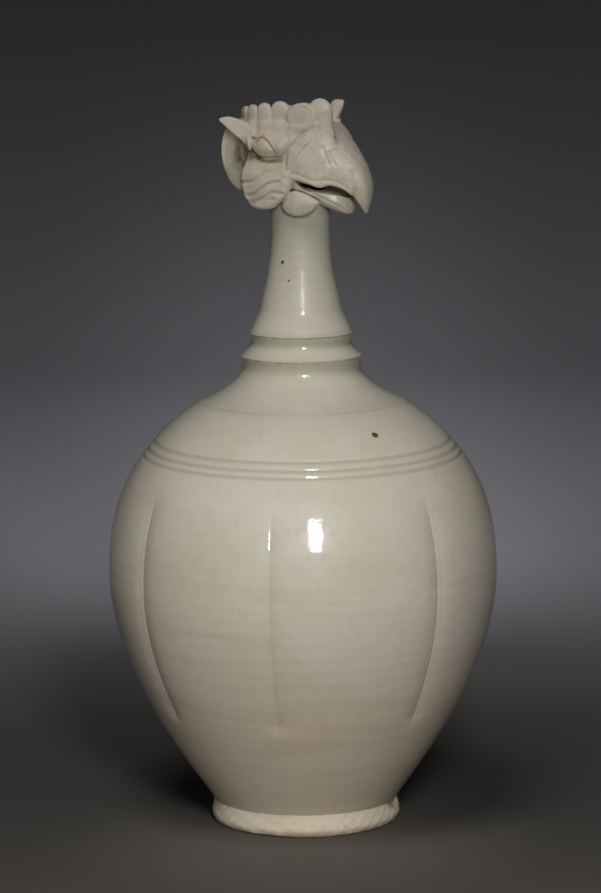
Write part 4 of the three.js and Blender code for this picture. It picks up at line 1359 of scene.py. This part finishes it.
def make_camera():
    """The camera at the photograph's viewing angle."""
    lens = bpy.data.cameras.new("photograph")
    lens.sensor_fit = "AUTO"
    lens.angle = math.radians(CAMERA_ANGLE)
    lens.shift_x = LENS_SHIFT
    camera = bpy.data.objects.new("photograph", lens)
    facing = Euler((math.radians(90 - CAMERA_FALL), 0, math.radians(CAMERA_TURN))).to_matrix().to_4x4()
    roll = Matrix.Rotation(math.radians(-CAMERA_ROLL), 4, "Z")
    camera.matrix_world = Matrix.Translation(CAMERA_PLACE) @ facing @ roll
    bpy.context.scene.collection.objects.link(camera)
    bpy.context.scene.camera = camera


def make_lamp(name, turn, rise, distance, width, height, watts, aim=0.17):
    """An area lamp at a turn from the camera's direction and a rise above level, in degrees, facing the
    ewer's axis at the height of its aim."""
    angle = math.radians(CAMERA_TURN - 90 + turn)
    up = math.radians(rise)
    outwards = [math.cos(up) * math.cos(angle), math.cos(up) * math.sin(angle), math.sin(up)]
    place = np.array(outwards) * distance
    light = bpy.data.lights.new(name, "AREA")
    light.shape = "RECTANGLE"
    light.size, light.size_y = width, height
    light.energy = watts
    lamp = bpy.data.objects.new(name, light)
    tilt = Euler((math.radians(90 - rise), 0, angle + math.pi / 2)).to_matrix().to_4x4()
    lamp.matrix_world = Matrix.Translation((*place[:2], place[2] + aim)) @ tilt
    bpy.context.scene.collection.objects.link(lamp)
    return lamp


def make_lights():
    """A tall key softbox beside the camera, a large one above, a low strip for the foot and a faint cool
    room. Of the three lamps only the key shows in the glaze."""
    world = bpy.data.worlds.new("room")
    world.use_nodes = True
    sky = world.node_tree.nodes["Background"]
    sky.inputs["Color"].default_value = (0.94, 0.97, 1.0, 1.0)
    sky.inputs["Strength"].default_value = 0.035
    bpy.context.scene.world = world
    bpy.context.scene.view_settings.view_transform = "Standard"
    make_lamp("key_softbox", turn=7, rise=24, distance=1.8, width=0.225, height=0.54, watts=15)
    top = make_lamp("top_softbox", turn=-18, rise=64, distance=1.8, width=0.6, height=0.6, watts=10.5)
    low = make_lamp("low_softbox", turn=-8, rise=0, distance=0.9, width=0.9, height=0.1, watts=1.7, aim=0.06)
    top.visible_glossy = low.visible_glossy = False


make_camera()
make_lights()
make_stage()
make_pot(make_body_glaze(), make_bare_clay())
make_head(make_head_glaze())
